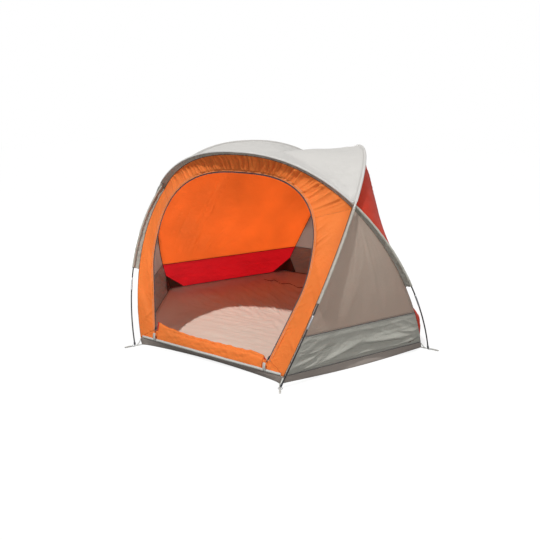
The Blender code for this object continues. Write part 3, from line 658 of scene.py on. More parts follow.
def repeat_tree(name):
    """Small blocks along a line, turned with it and toward the way out of the cloth."""
    tree = bpy.data.node_groups.new(name, "GeometryNodeTree")
    face = tree.interface
    face.new_socket("Line", in_out="INPUT", socket_type="NodeSocketGeometry")
    sizes = {"Pitch": 0.005, "Length": 0.003, "Width": 0.0006, "Height": 0.0005, "Slant": 0.0}
    for label, value in sizes.items():
        face.new_socket(label, in_out="INPUT", socket_type="NodeSocketFloat").default_value = value
    face.new_socket("Seed", in_out="INPUT", socket_type="NodeSocketInt").default_value = 3
    face.new_socket("Finish", in_out="INPUT", socket_type="NodeSocketMaterial")
    face.new_socket("Pieces", in_out="OUTPUT", socket_type="NodeSocketGeometry")
    ins = tree.nodes.new("NodeGroupInput").outputs

    def result(kind, inputs=(), output=0, **properties):
        return add(tree, kind, inputs, **properties).outputs[output]
    curve = result("GeometryNodeMeshToCurve", {"Mesh": ins["Line"]})
    places = result("GeometryNodeResampleCurve", {"Curve": curve, "Length": ins["Pitch"]}, mode="LENGTH")
    size = result("ShaderNodeCombineXYZ", {0: ins["Width"], 1: ins["Height"], 2: ins["Length"]})
    block = result("GeometryNodeMeshCylinder", {"Vertices": 6, "Radius": 0.5, "Depth": 1.0}, "Mesh")
    shape = result("GeometryNodeTransform", {"Geometry": block, "Scale": size})
    along = result("GeometryNodeInputTangent")
    facing = result("GeometryNodeInputNamedAttribute", {"Name": "facing"}, data_type="FLOAT_VECTOR")
    turned = result("FunctionNodeAlignRotationToVector", {"Vector": along}, axis="Z")
    upright = result("FunctionNodeAlignRotationToVector", {"Rotation": turned, "Vector": facing},
                     axis="Y", pivot_axis="Z")
    jitter = result("FunctionNodeRandomValue", {"Seed": ins["Seed"]}, 1, data_type="FLOAT")
    sway = result("ShaderNodeCombineXYZ", {1: number(tree, "MULTIPLY_ADD", jitter, 0.12, ins["Slant"])})
    leaned = result("FunctionNodeRotateRotation", {0: upright, 1: sway}, rotation_space="LOCAL")
    put = result("GeometryNodeInstanceOnPoints", {"Points": places, "Instance": shape, "Rotation": leaned})
    real = result("GeometryNodeRealizeInstances", {0: put})
    made = result("GeometryNodeSetMaterial", {"Geometry": real, "Material": ins["Finish"]})
    fill(tree, tree.nodes.new("NodeGroupOutput"), {0: made})
    return tree


def repeated(name, lines, finish, slot, **sizes):
    """Stitches or teeth along lines, each a list of (point, way out of the cloth), made one plain mesh."""
    mesh = bpy.data.meshes.new(name)
    points, edges, ways = [], [], []
    for line in lines:
        first = len(points)
        points += [p for p, _ in line]
        ways += [w for _, w in line]
        edges += [(first + i, first + i + 1) for i in range(len(line) - 1)]
    mesh.from_pydata(points, edges, [])
    facing = mesh.attributes.new("facing", "FLOAT_VECTOR", "POINT")
    for item, way in zip(facing.data, ways):
        item.vector = way
    guide = linked(name + "_line", mesh)
    maker = guide.modifiers.new("repeat", "NODES")
    maker.node_group = bpy.data.node_groups.get("repeat_along_line") or repeat_tree("repeat_along_line")
    values = {**sizes, "Seed": 3, "Finish": look(finish)}
    for item in maker.node_group.interface.items_tree:
        if item.in_out == "INPUT" and item.name in values:
            maker[item.identifier] = values[item.name]
    graph = bpy.context.evaluated_depsgraph_get()
    graph.update()
    made = bpy.data.meshes.new_from_object(guide.evaluated_get(graph), depsgraph=graph)
    made.name = name
    bpy.data.objects.remove(guide, do_unlink=True)
    obj = linked(name, made)
    if len(made.polygons) < 6:
        raise RuntimeError(f"{name}: no stitches were made")
    made.shade_smooth()
    dress(obj, finish, slot)


def stitched(name, lines, finish, slot, wide=1.0):
    pitch = settings().stitch_pitch
    repeated(name, lines, finish, slot, Pitch=pitch, Length=pitch * 0.66, Width=0.0011 * wide, Height=0.0008)


def on_grid(rows, j):
    """A stitch line along row j of a finished grid, just out of its surface."""
    return [(p + n * STITCH_LIFT, n) for p, n in zip(rows[j], grid_normals(rows)[j])]


def beside(rows, i, lift=STITCH_LIFT):
    """A stitch line up column i of a finished grid."""
    return [(row[i] + line[i] * lift, line[i]) for row, line in zip(rows, grid_normals(rows))]


# The roof, the walls and the floor
SKIN_ROUNDS = 4000  # how often each point of a skin takes the mean of its neighbours
EASING_ROUNDS = 260  # how often the corners of the roof's rings are eased


def level_skin(rim, rings):
    """A taut skin inside a closed rim, each point the mean of its neighbours, from the middle out."""
    rim = numpy.array([tuple(p) for p in rim])
    share = numpy.linspace(0.0, 1.0, rings + 1)[:, None, None]
    skin = rim.mean(axis=0) * (1 - share) + rim[None] * share
    for _ in range(SKIN_ROUNDS):
        inner = skin[1:-1]
        around = numpy.roll(inner, 1, axis=1) + numpy.roll(inner, -1, axis=1)
        skin[1:-1] = (around + skin[:-2] + skin[2:]) / 4
        skin[0] = skin[1].mean(axis=0)
    return [[Vector(p) for p in line] for line in skin]


def pole_frame(s, k):
    """Middle of hoop k at s, its way along, its way out from the seam and its way back over the roof."""
    ahead, back = pole_at(min(s + 0.004, HOOP_LENGTH)), pole_at(max(s - 0.004, 0.0))
    along = turn(ahead - back, k).normalized()
    middle, seam = turn(pole_at(s), k), turn(seam_at(s), k)
    out = (middle - seam).normalized()
    return middle, along, out, turn(hoop_normal, k), seam


def about(place, out, over, angle, radius):
    """A point round a pole: 0 is straight out from the seam and 90 degrees is over the roof."""
    return place + (out * math.cos(angle) + over * math.sin(angle)) * radius


def roof_relief(x, y, u, v):
    """Broad folds that run in from the crossings, and gathers at the rim."""
    near = max(0.0, v - 0.45) / 0.55
    soft = 0.010 * ripple(x * 0.7, y, 0.3, 0.55, 0.16, 4.0) * v
    level = 0.006 * pleat(u * 46.0, v * 1.2, 0.0, 1.0, 1.0, 9.0) * near
    return (soft + level) * min(1.0, (1.0 - v) * 9.0)


def rounded(rings, times):
    """The rings of a skin with their corners eased, all but the outer ones."""
    grid = numpy.array([[tuple(p) for p in line] for line in rings])
    keep = numpy.clip((len(rings) - 1 - numpy.arange(len(rings))) / 14.0, 0.0, 1.0)[:, None, None] * 0.5
    for _ in range(times):
        around = (numpy.roll(grid, 1, axis=1) + numpy.roll(grid, -1, axis=1)) / 2
        grid = grid + (around - grid) * keep
    return [[Vector(p) for p in line] for line in grid]


ROOF_STATIONS = 120  # places along each arch
ROOF_RINGS = 20
RIM_CLEAR = CROSS_CLEAR * 0.6  # how far past the crossings the rim runs on along each pole
RIM_END = math.radians(-78)  # where the rim's cloth ends, round the pole
RIM_RADIUS = SLEEVE_RADIUS + 0.0011
CORNER_REACH = 0.5  # distance from a crossing at which its gathers have died out
CORNER_DEPTH = 0.021


def roof_rim(station, start):
    """Points of the rim's cloth, which goes round the pole from the way in to the roof."""
    place, along, out, over, _ = pole_frame(*station)
    inward = start - place
    inward = (inward - along * inward.dot(along)).normalized()
    first = math.atan2(inward.dot(over), inward.dot(out))
    return [about(place, out, over, first + (RIM_END - first) * q, RIM_RADIUS) for q in spread(0.0, 1.0, 9)]


def build_roof():
    """The roof between the three arches: a taut skin with a crown, its rim sewn round the poles."""
    first, last = HOOP_LENGTH - S_CROSS - RIM_CLEAR, S_CROSS + RIM_CLEAR
    stations = [(s, k) for k in (1, 2, 0) for s in spread(first, last, ROOF_STATIONS - 1)]
    stations.reverse()
    skin = level_skin([turn(pole_at(s), k) for s, k in stations], ROOF_RINGS)
    for r, line in enumerate(skin):
        skin[r] = [p + Vector((0.0, 0.0, ROOF_CROWN * (1 - (r / ROOF_RINGS) ** 2) ** 1.5)) for p in line]
    skin = rounded(finer(skin, 3), EASING_ROUNDS)
    rims = [roof_rim(station, start) for station, start in zip(stations, skin[-3])]
    lifted = relieved(skin[:-2], roof_relief)
    corners = [turn(pole_at(HOOP_LENGTH - S_CROSS), k) for k in range(3)]
    depth = settings().wrinkle_depth
    for j, row in enumerate(lifted):
        rim = min(1.0, (len(lifted) - 1 - j) / 5)
        for i, p in enumerate(row):
            corner = min(corners, key=lambda c: (p - c).length)
            away = (p - corner).length
            if away < CORNER_REACH:
                wave = pleat(away * (1 + 0.25 * noise.noise(p * 2.3)), (p.x + p.y) * 0.2, math.pi / 2, 0.5, 0.055, 3.0)
                deep = CORNER_DEPTH * wave * depth * rim * math.exp(-(away / 0.26) ** 2)
                row[i] = p + (p - corner * 0.4).normalized() * deep
    lifted += [list(line) for line in zip(*rims)]
    cloth("roof_panel", lifted, "roof_grey", "roof_grey", ["roof"],
          closed=True)


def leg_line(leg, low, high, count):
    return [leg_seam(leg, s) for s in spread(low, high, count)]


def bottom_line(leg, s, count, start=0.0, end=1.0):
    """Points of the straight line from one leg's seam to the next leg's, s along both poles."""
    a, b = leg_seam(leg, s), leg_seam(leg + 1, s)
    return [a.lerp(b, u) for u in spread(start, end, count)]


JAMB_FOLDS = (
    (0.10, 0.02, 0.02, 0.30, 0.026, 0.008), (0.16, 0.05, 0.06, 0.62, 0.020, 0.007),
    (0.02, 0.28, 0.19, 0.55, 0.018, -0.007), (0.05, 0.40, 0.22, 0.74, 0.016, 0.006),
    (0.22, 0.12, 0.13, 0.50, 0.013, -0.005), (0.03, 0.10, 0.17, 0.20, 0.012, 0.005),
)


def jamb_relief(side):
    """Long folds down the jamb, and short slanting ones that run out from the zipper."""
    def relief(x, y, u, v):
        away = u if side < 0 else 1 - u
        edge = math.sin(math.pi * min(1.0, away * 4 + 0.12) / 2) * min(1.0, (1 - away) * 9 + 0.2)
        near_zip = max(0.0, away - 0.35) / 0.65
        bunch = 0.4 + abs(ripple(0.0, y, 0.0, 1.0, 0.2, 5.0)) * 2
        puckers = 0.0060 * near_zip * pleat(x * side, y, 0.85, 0.16, 0.030, 3.0 + side) * bunch
        long = folds(x if side < 0 else 0.24 - x, y, JAMB_FOLDS) * 0.9
        long += 0.007 * ripple(x * side, y, 1.35, 0.5, 0.060, 5.0 + side)
        return long * edge + puckers * min(1.0, (1 - away) * 14)
    return relief


def header_relief(x, y, u, v):
    """Gathers that hang from the arch strip and die out at the door's edge, which lie closer at the right."""
    ends = min(1.0, (1 - v) * 7.0) * min(1.0, v * 9 + 0.05) * fade(u, 14)
    right = 0.55 + 0.45 * min(1.0, max(0.0, (u - 0.35) * 3.0))
    slant = u * 30.0 + v * 1.3 * (u - 0.45)
    gathers = 0.0125 * pleat(slant, v * 0.30, 0.0, 1.0, 1.0, 1.7)
    gathers += 0.0075 * pleat(slant * 1.9, v * 0.5, 0.0, 1.0, 1.0, 5.3)
    swag = 0.006 * ripple(x, y, 0.1, 0.6, 0.10, 6.0)
    dish = -0.012 * math.sin(math.pi * v ** 1.4) * math.sin(math.pi * u) ** 0.5
    return (gathers * right + swag) * ends + dish


def build_front():
    """Both jambs and the gathered header of the front wall."""
    made = {}
    for side, name, leg in ((-1, "left_jamb", 4), (1, "right_jamb", 5)):
        seam = leg_line(leg, S_HEM, S_CROSS_IN, 170)
        edge = [door_edge(HEADER_SHARE * v if side < 0 else 1 - HEADER_SHARE * v) for v in along_line(seam)[0]]
        rows = [straight(a, b, 48) for a, b in zip(*((seam, edge) if side < 0 else (edge, seam)))]
        _, made[name] = cloth(name, rows, "shell_orange", "shell_orange", ["front_wall"],
                              jamb_relief(side))
    arch = arch_seam(0, 360)
    low = [door_edge(HEADER_SHARE + (1 - 2 * HEADER_SHARE) * u) for u in along_line(arch)[0]]
    _, made["header"] = cloth("door_header", ruled(low, arch, 30), "shell_orange", "shell_orange", ["front_wall"],
                              header_relief)
    return made


WALL_FOLDS = (
    (1.12, 0.05, 0.88, 0.32, 0.014, 0.009), (1.07, 0.03, 0.80, 0.30, 0.010, -0.007),
    (1.17, 0.36, 0.94, 0.86, 0.016, 0.010), (1.12, 0.34, 0.90, 0.82, 0.010, -0.007),
    (1.22, 0.30, 1.02, 0.70, 0.012, 0.008), (1.02, 0.60, 0.86, 0.95, 0.012, 0.009),
    (0.98, 0.04, 0.72, 0.22, 0.014, 0.008), (0.30, 0.50, 0.15, 0.85, 0.014, 0.007),
    (1.16, 0.04, 0.98, 0.26, 0.008, 0.006),
)


def wall_relief(seed, table=()):
    """Broad waves, and bunches of slanting folds between stretches of smooth cloth."""
    def relief(x, y, u, v):
        inside = fade(u, 9) * fade(v, 9)
        bunch = max(0.0, ripple(x, y, 1.0, 0.8, 0.30, seed + 6.0) + 0.12) * 2.6
        thin = 0.006 * bunch * pleat(x, y, 2.05, 0.90, 0.045, seed + 3.0)
        return (0.009 * ripple(x, y, 2.05, 0.9, 0.20, seed) + thin + folds(x, y, table)) * inside
    return relief


def build_rear():
    """Both closed walls behind the door."""
    made = {}
    for name, leg, finish, slot, dish, table in (
        ("rear_right", 0, "shell_red", "shell_red", WALL_DISH + 0.022, ()),
        # The rear left wall gets a lighter, paler copy of the shell orange: painted light for its glow from behind.
        ("rear_left", 2, "rear_orange", "shell_orange", WALL_DISH, WALL_FOLDS),
    ):
        left, right = leg_line(leg, S_BAND, S_CROSS_IN, 60), leg_line(leg + 1, S_BAND, S_CROSS_IN, 60)
        high = arch_seam((leg + 2) // 2 % 3, 90)
        share = along_line(high)[0]
        low = [left[0].lerp(right[0], u) for u in share]
        middle = left[0] + right[0]
        inward = -Vector((middle.x, middle.y, 0.0)).normalized() * dish
        rows = [[p + inward * (math.sin(math.pi * u) * math.sin(math.pi * v)) for p, u in zip(row, share)]
                for row, v in zip(coons(low, high, left, right), along_line(left)[0])]
        _, made[name + "_wall"] = cloth(name + "_wall_cloth", rows, finish, slot, [name + "_wall"],
                                        wall_relief(leg + 2.5, table))
    return made


SLACK_FOLDS = (
    (0.03, 0.01, 0.50, 0.135, 0.024, 0.015), (0.08, 0.00, 0.42, 0.085, 0.016, -0.011),
    (0.02, 0.05, 0.22, 0.13, 0.012, 0.008), (0.10, 0.10, 0.30, 0.145, 0.010, -0.007),
    (0.55, 0.125, 0.98, 0.10, 0.024, 0.014), (0.55, 0.10, 0.85, 0.065, 0.014, -0.009),
    (0.60, 0.04, 1.08, 0.075, 0.020, 0.012), (0.30, 0.03, 0.62, 0.05, 0.014, 0.008),
    (0.85, 0.14, 1.08, 0.11, 0.010, 0.008), (0.90, 0.02, 1.08, 0.05, 0.010, -0.007),
    (0.14, 0.115, 0.26, 0.125, 0.007, 0.005), (0.10, 0.125, 0.20, 0.14, 0.006, 0.004),
)


def band_relief(seed, depth, bulge=0.0, table=()):
    """Level and slanting folds of a slack band, with a bulge near its left end."""
    def relief(x, y, u, v):
        inside = fade(u, 12, 0.1) * fade(v, 6, 0.05)
        level = depth * pleat(x, y, 0.10 * math.sin(seed), 0.42, 0.040, seed)
        slant = depth * pleat(x, y, 0.60, 0.30, 0.045, seed + 2.0) * max(0.0, 1 - u * 1.6)
        other = depth * 0.9 * pleat(x, y, -0.45, 0.34, 0.050, seed + 5.0) * max(0.0, u * 1.6 - 0.5)
        soft = depth * 0.9 * ripple(x, y, 0.05, 0.30, 0.07, seed + 7.0)
        near = max(u, 0.0) / 0.08
        swell = bulge * near * math.exp(1 - near) * math.sin(math.pi * min(max(v, 0.0), 1.0) ** 1.5)
        return (level * 0.8 + slant + other + soft + 1.7 * folds(x, y, table)) * inside + swell
    return relief


def build_bands():
    """The closed band under each wall."""
    made = {}
    for name, leg, finish, depth, bulge, table in (
        ("right_band", 5, "band_grey", 0.0045, 0.004, SLACK_FOLDS),
        ("rear_right_band", 0, "shell_red", 0.006, 0.030, ()),
        ("rear_band", 1, "band_grey", 0.009, 0.0, ()),
        ("rear_left_band", 2, "band_crimson", 0.006, 0.0, ()),
        ("left_band", 3, "band_grey", 0.009, 0.0, ()),
    ):
        left, right = leg_line(leg, S_HEM, S_BAND, 40), leg_line(leg + 1, S_HEM, S_BAND, 40)
        rows = [straight(a, b, 150) for a, b in zip(left, right)]
        _, made[name] = cloth(name + "_cloth", rows, finish, finish, [name],
                              band_relief(leg + 1.3, depth, bulge, table))
    return made


def mesh_relief(seed):
    """Fine upright ripples, a sewn crease, and crinkles across the narrow top."""
    def relief(x, y, u, v):
        inside = fade(u, 8, 0.05) * fade(v, 8)
        crinkles = 0.004 * pleat(x, y, 0.15, 0.25, 0.030, seed + 4.0) * (max(0.0, v - 0.66) * 3.0)
        crinkles += 0.0045 * math.exp(-((u - 0.66) / 0.012) ** 2) * min(1.0, max(0.0, (0.8 - v) * 6))
        upright = 0.0035 * pleat(x, y, 1.45, 0.5, 0.045, seed + 1) * (1 - v)
        return inside * (0.007 * ripple(x, y, 1.5, 0.5, 0.10, seed) + upright + crinkles)
    return relief


def build_meshes():
    """The see-through wall above each grey band."""
    made = {}
    top, steps = S_CROSS_IN - APEX_CLEAR * 0.35, 70
    for name, leg in (("right", 5), ("rear", 1), ("left", 3)):
        rows = []
        for j, (a, b) in enumerate(zip(leg_line(leg, S_BAND, top, steps), leg_line(leg + 1, S_BAND, top, steps))):
            inward = Vector((-(a + b).x, -(a + b).y, 0.0)).normalized() * 0.010 * math.sin(math.pi * j / steps)
            rows.append([a.lerp(b, u) + inward * math.sin(math.pi * u) for u in spread(0.0, 1.0, 48)])
        _, made[name + "_mesh"] = cloth(name + "_mesh_net", rows, "mesh_taupe", "mesh_taupe", [name + "_mesh"],
                                        mesh_relief(leg + 0.6))
    return made


def floor_relief(p):
    """Slack folds that fan out over the ground from the left rear corner, and level ones behind the door."""
    far = min(1.0, max(0.0, (p.y + 0.35) * 1.6))
    fan = 0.014 * pleat(p.x, p.y, -0.42, 0.85, 0.075, 2.2) + 0.010 * pleat(p.x, p.y, -0.70, 0.60, 0.060, 6.1)
    near = 0.006 * pleat(p.x, p.y, 0.10, 0.45, 0.050, 9.4) + 0.0045 * pleat(p.x, p.y, 0.95, 0.40, 0.060, 3.4)
    return fan * far + near * (1 - 0.6 * far)


FLOOR_RADIUS = FOOT_RADIUS - SEAM_INSET
FLOOR_REST = 0.0012  # height of the sheet where it lies flat
HEM_TUCK = 0.016  # how far the tub's side is drawn in under its hem, half way between two feet
FRONT_TUCK = 0.052  # the same under the door
SIDE_SPREAD = 0.030  # how far the tub's right side lies out from its hem
FLOOR_FLAT = 0.87  # share of the way out from the middle where the sheet begins to rise
FLOOR_RINGS = 60
PER_SIDE = 40  # places along each of the floor's six sides
TUB_ROWS = 8
SEAM_HALF, SEAM_PLACE, SEAM_BEND = 0.70, 0.708, 0.032  # the sheet's joining seam: half its length, its y, its bend
SEAM_LIFT = 0.0042


def floor_point(p, r):
    """The sheet above a point of the ground, r being the point's share of the way out to the edge."""
    lift = settings().wrinkle_depth * min(1.0, (1.0 - r) * 9.0) * min(1.0, r * 6.0) * floor_relief(p)
    return Vector((p.x, p.y, FLOOR_REST + lift))


def floor_outline():
    """Round the floor: its edge on the ground, the hem above it, and how far the sheet rises to the hem."""
    corners = [Matrix.Rotation(SIXTH * j, 3, "Z") @ Vector((FLOOR_RADIUS, 0.0, 0.0)) for j in range(6)]
    edge, hem, rise = [], [], []
    for j in range(6):
        for u in spread(0.0, 1.0, PER_SIDE)[:-1]:
            p = corners[j].lerp(corners[(j + 1) % 6], u)
            bow = math.sin(math.pi * u)
            tuck = {4: FRONT_TUCK * bow ** 0.5, 5: -SIDE_SPREAD * bow}.get(j, HEM_TUCK * bow)
            edge.append(p - Vector((p.x, p.y, 0.0)).normalized() * tuck)
            hem.append(leg_seam(j, S_HEM).lerp(leg_seam(j + 1, S_HEM), u))
            rise.append({3: min(1.0, (1 - u) / 0.15), 4: 0.0, 5: min(1.0, u / 0.15)}.get(j, 1.0))
    return edge, hem, rise


def build_floor():
    """The tub floor: a sheet that lies on the ground, its turned-up sides, and its joining seam."""
    edge, hem, rise = floor_outline()

    def sheet_point(i, r):
        turned = max(0.0, (r - FLOOR_FLAT) / (1 - FLOOR_FLAT)) ** 2.2 * rise[i]
        top = hem[i] - edge[i]
        return floor_point(edge[i] * r, r) + Vector((top.x * 0.9, top.y * 0.9, top.z - FLOOR_REST - 0.004)) * turned
    rows = [[sheet_point(i, r) for i in reversed(range(len(edge)))] for r in spread(0.0, 1.0, FLOOR_RINGS)]
    cloth("floor_sheet", rows, "floor_beige", "floor_sheet", ["floor"], closed=True)
    rows = ruled([p + Vector((0.0, 0.0, FLOOR_REST)) for p in edge], hem, TUB_ROWS)
    for j, row in enumerate(rows):
        for i, p in enumerate(row):
            drawn = 0.004 * (j / TUB_ROWS) * math.sin(math.pi * i / PER_SIDE) ** 2
            puff = 0.003 * pleat(i * 0.030, j * 0.006, 0.5, 0.2, 0.04, 3.0) + 0.001 - drawn
            row[i] = p + Vector((p.x, p.y, 0.0)).normalized() * (math.sin(math.pi * j / TUB_ROWS) * puff)
    # The tub side's outside is darkened, partly as painted shade for the shaded front; its inside is the floor's beige.
    side, _ = cloth("tub_side", rows, "tub_outer_painted_shade", "floor_sheet", ["floor"], closed=True)
    side.data.materials.append(look("floor_beige"))
    side.modifiers["thickness"].material_offset = 1
    seam = []
    for x in spread(-SEAM_HALF, SEAM_HALF, 90):
        bend = SEAM_BEND * max(0.0, min(1.0, (-0.12 - x) / 0.4))
        p = Vector((x, SEAM_PLACE + bend + 0.004 * noise.noise(Vector((x * 5, 0.0, 4.0))), 0.0))
        reach = FLOOR_RADIUS * math.cos(SIXTH / 2) / math.cos(math.atan2(p.y, p.x) % SIXTH - SIXTH / 2)
        seam.append(floor_point(p, min(p.length / reach, 1.0)) + Vector((0.0, 0.0, SEAM_LIFT)))
    rolled_seam("floor_seam", seam, 0.0026, "patch_brown", "floor_sheet")


def build_threshold():
    """The cloth under the door opening, with its folded upper edge."""
    def relief(x, y, u, v):
        inside = fade(u, 14, 0.1) * min(1.0, v * 6 + 0.05)
        slack = 0.004 * pleat(x, y, 0.35, 0.22, 0.035, 2.0) + 0.003 * pleat(x, y, -0.5, 0.16, 0.035, 7.0)
        return inside * (0.003 * ripple(x, y, 0.05, 0.35, 0.05, 1.0) + slack)
    rows = ruled(bottom_line(4, S_HEM, 150), straight(door_edge(0.0), door_edge(1.0), 150), 16)
    return cloth("door_sill_cloth", rows, "shell_orange", "shell_orange", ["door_sill"],
                 relief)[1]


BUNDLE_HALF = 0.466  # half the length of the stowed door
BUNDLE_TOPS = (
    (-0.466, 0.188), (-0.450, 0.190), (-0.434, 0.178), (-0.41, 0.171), (-0.36, 0.160), (-0.31, 0.152),
    (-0.24, 0.146), (-0.18, 0.140), (-0.05, 0.141), (0.09, 0.143), (0.22, 0.146), (0.33, 0.148),
    (0.40, 0.143), (0.44, 0.137), (0.466, 0.112),
)


def bundle_rows():
    """The stowed door: flattened loops of cloth along the threshold, each loop a cross-section of the bundle."""
    face = max(leg_seam(4, S_HEM).y, door_edge(0.0).y) + 0.004
    rows = []
    for x in spread(-BUNDLE_HALF, BUNDLE_HALF, 150):
        top = between(x, *zip(*BUNDLE_TOPS)) - 0.004
        end = min(1.0, (BUNDLE_HALF - abs(x)) / 0.05) ** 0.5
        round_end = end if x > 0 else min(1.0, (BUNDLE_HALF + x) / 0.012) ** 0.5
        tall = (top - 0.012) / 2 * (0.55 + 0.45 * round_end)
        row = []
        for a in spread(0, 2 * math.pi, 48)[:-1]:
            slow = 3 * a + 5 * noise.noise(Vector((x * 3.2, 0.3, 1.0)))
            lobes = 1.0 + 0.16 * math.sin(slow) + 0.07 * math.sin(7 * a + 21 * x)
            crumple = 0.0055 * pleat(x, a * 0.03, 0.5, 0.10, 0.022, 4.0)
            crumple += 0.004 * ripple(x, a * 0.05, 0.0, 0.06, 0.03, 7.0)
            deep = 0.013 * lobes * (0.5 + 0.5 * end) + crumple * 0.5
            lift = math.sin(a)
            y = face + 0.0155 + deep * math.cos(a) * (0.95 - 0.35 * max(0.0, lift))
            z = 0.007 + tall + tall * math.copysign(abs(lift) ** 0.85, lift) + crumple * 0.4 * lift
            row.append(Vector((x, y, z)))
        rows.append(row)
    return rows


def build_stowed_door():
    """The door stowed along the threshold: its crimson bundle, and its orange edge that covers the sill."""
    rows = bundle_rows()
    body = grid_object("stowed_door_bundle", capped(rows), closed=True)
    bm = bmesh.new()
    bm.from_mesh(body.data)
    bmesh.ops.recalc_face_normals(bm, faces=bm.faces)
    bm.to_mesh(body.data)
    bm.free()
    dress(body, "door_crimson", "door_crimson", "stowed_door")
    lines = []
    for row in rows[4:-6]:
        top = row[12]
        sill, foot = door_point(top.x, DOOR_FOOT[1]), door_point(top.x, HEM_HEIGHT + 0.015)
        lines.append([foot + OUTWARD * 0.0014, foot.lerp(sill, 0.5) + OUTWARD * 0.0034, sill + OUTWARD * 0.0036])
        lines[-1] += [top + Vector((0.0, y, z)) for y, z in (
            (-0.0095, -0.009), (-0.004, 0.0010), (0.006, 0.0014), (0.016, -0.008))]

    def relief(x, y, u, v):
        slack = 0.0035 * pleat(x, y, 0.30, 0.20, 0.030, 5.0) + 0.0030 * pleat(x, y, -0.45, 0.16, 0.030, 8.0)
        return fade(u, 10) * min(1.0, v * 5) * (slack + 0.003 * ripple(x, y, 0.05, 0.30, 0.04, 3.0))
    cloth("stowed_door_edge", finer([list(line) for line in zip(*lines)], 4), "shell_orange", "shell_orange",
          ["stowed_door"], relief)


BINDING_WIDTH, BINDING_THICKNESS = 0.019, 0.0007
BINDING_STITCH = 0.0075  # how far its stitch lines lie from its middle
TAB_PLACE, TAB_WIDTH, TAB_THICKNESS = 0.455, 0.020, 0.0010
TAB_FOOT, TAB_LENGTH = 0.054, 0.058  # height of a tab's lower end, and how far it goes up


def build_binding():
    """Pale tape along the hem of the front, the two webbing tabs under the sliders, and the tape's stitch lines."""
    corner = leg_seam(5, S_HEM)
    half, face = corner.x - 0.020, corner.y - 0.0026
    points = [Vector((x, face, HEM_HEIGHT + 0.0105 + 0.0012 * noise.noise(Vector((x * 9, 0, 0)))))
              for x in spread(-half, half, 120)]
    up = Vector((0.0, 0.06, 1.0)).normalized()
    flat_band("hem_binding", points, up, BINDING_WIDTH, BINDING_THICKNESS, "binding_grey", "front_binding")
    for side, name in ((-1, "left"), (1, "right")):
        path = [Vector((side * TAB_PLACE, face - 0.0012 - 0.006 * math.sin(math.pi * v), TAB_FOOT + TAB_LENGTH * v))
                for v in spread(0.0, 1.0, 10)]
        flat_band(f"{name}_slider_tab", path, Vector((1.0, 0.0, 0.0)), TAB_WIDTH, TAB_THICKNESS,
                  "webbing_grey", "front_binding")
    return [[(p + up * q + Vector((0, -0.0006, 0)), Vector((0, -1, 0.06))) for p in points]
            for q in (-BINDING_STITCH, BINDING_STITCH)]


def sleeve_rows(k, low, high):
    """Cross-sections of a sleeve: a strip out from the wall's seam, a casing round the pole, a hem on the strip."""
    depth = settings().wrinkle_depth
    rows = []
    for s in spread(low, high, max(8, round((high - low) / 0.007))):
        place, _, out, over, seam = pole_frame(s, k)
        reach = (place - seam).length
        row = []
        for i in range(9):
            v = i / 9
            pull = min(1.0, v * 5) * (0.4 + 0.6 * (1 - v))
            ruck = 0.0070 * pleat(s, v * reach, 1.15, 0.09, 0.017, 4.0 + k)
            ruck -= 0.0035 * pleat(s, v * reach, -0.8, 0.10, 0.030, 8.0 + k)
            row.append(seam.lerp(place, v) - over * (SLEEVE_RADIUS * v ** 2.2) - over * (ruck * pull * depth))
        for angle in spread(-90.0, 236.0, 20):
            tuck = 0.0012 * ripple(s, angle * 0.0004, 0.0, 0.03, 0.02, 5.0 + k)
            row.append(about(place, out, over, math.radians(angle), SLEEVE_RADIUS + tuck))
        rows.append(row)
    return rows


def build_sleeves():
    """The two sleeves of each hoop, at both sides of its last crossing."""
    made = {}
    cut = HOOP_LENGTH - S_CROSS
    for k, hoop in enumerate(HOOPS):
        for part, low, high in (("long", SLEEVE_START, cut - CROSS_CLEAR),
                                ("short", cut + CROSS_CLEAR, HOOP_LENGTH - SLEEVE_START)):
            node = f"{hoop}_sleeve_{part}"
            made[node] = sleeve_rows(k, low, high)
            obj = grid_object(node + "_cloth", made[node])
            dress(obj, "sleeve_grey", "sleeve_grey", node)
            thicken(obj)
    return made


def pole_rings(k, marks):
    """Rings of a round bar along hoop k, for marks of (length along the hoop, radius)."""
    rings = []
    for s, radius in marks:
        place, along, out, _, _ = pole_frame(s, k)
        rings.append((place, along, radius, out))
    return rings


FERRULE_END = 0.0050  # radius at both ends
EASE = 0.0006  # length of the rounding at each end
GROOVE_PLACE, GROOVE_HALF, GROOVE_DEPTH = 0.012, 0.0012, 0.0005  # from the end, along it from its middle, and deep


def ferrule_marks(joint):
    """A tube over a joint: eased ends, and a crimped groove near each of them."""
    low, high = joint - FERRULE_LENGTH / 2, joint + FERRULE_LENGTH / 2
    marks = [(low, FERRULE_END), (low + EASE, FERRULE_RADIUS)]
    for groove in (low + GROOVE_PLACE, high - GROOVE_PLACE):
        marks += [(groove + step * GROOVE_HALF, FERRULE_RADIUS - (0 if step else GROOVE_DEPTH)) for step in (-1, 0, 1)]
        if groove < joint:
            marks += [(s, FERRULE_RADIUS) for s in spread(joint - 0.024, joint + 0.024, 4)]
    return marks + [(high - EASE, FERRULE_RADIUS), (high, FERRULE_END)]


TIP_MARKS = ((0.0, 0.0055), (0.0012, TIP_RADIUS), (0.016, TIP_RADIUS), (0.0185, 0.0059), (TIP_LENGTH, 0.0052))


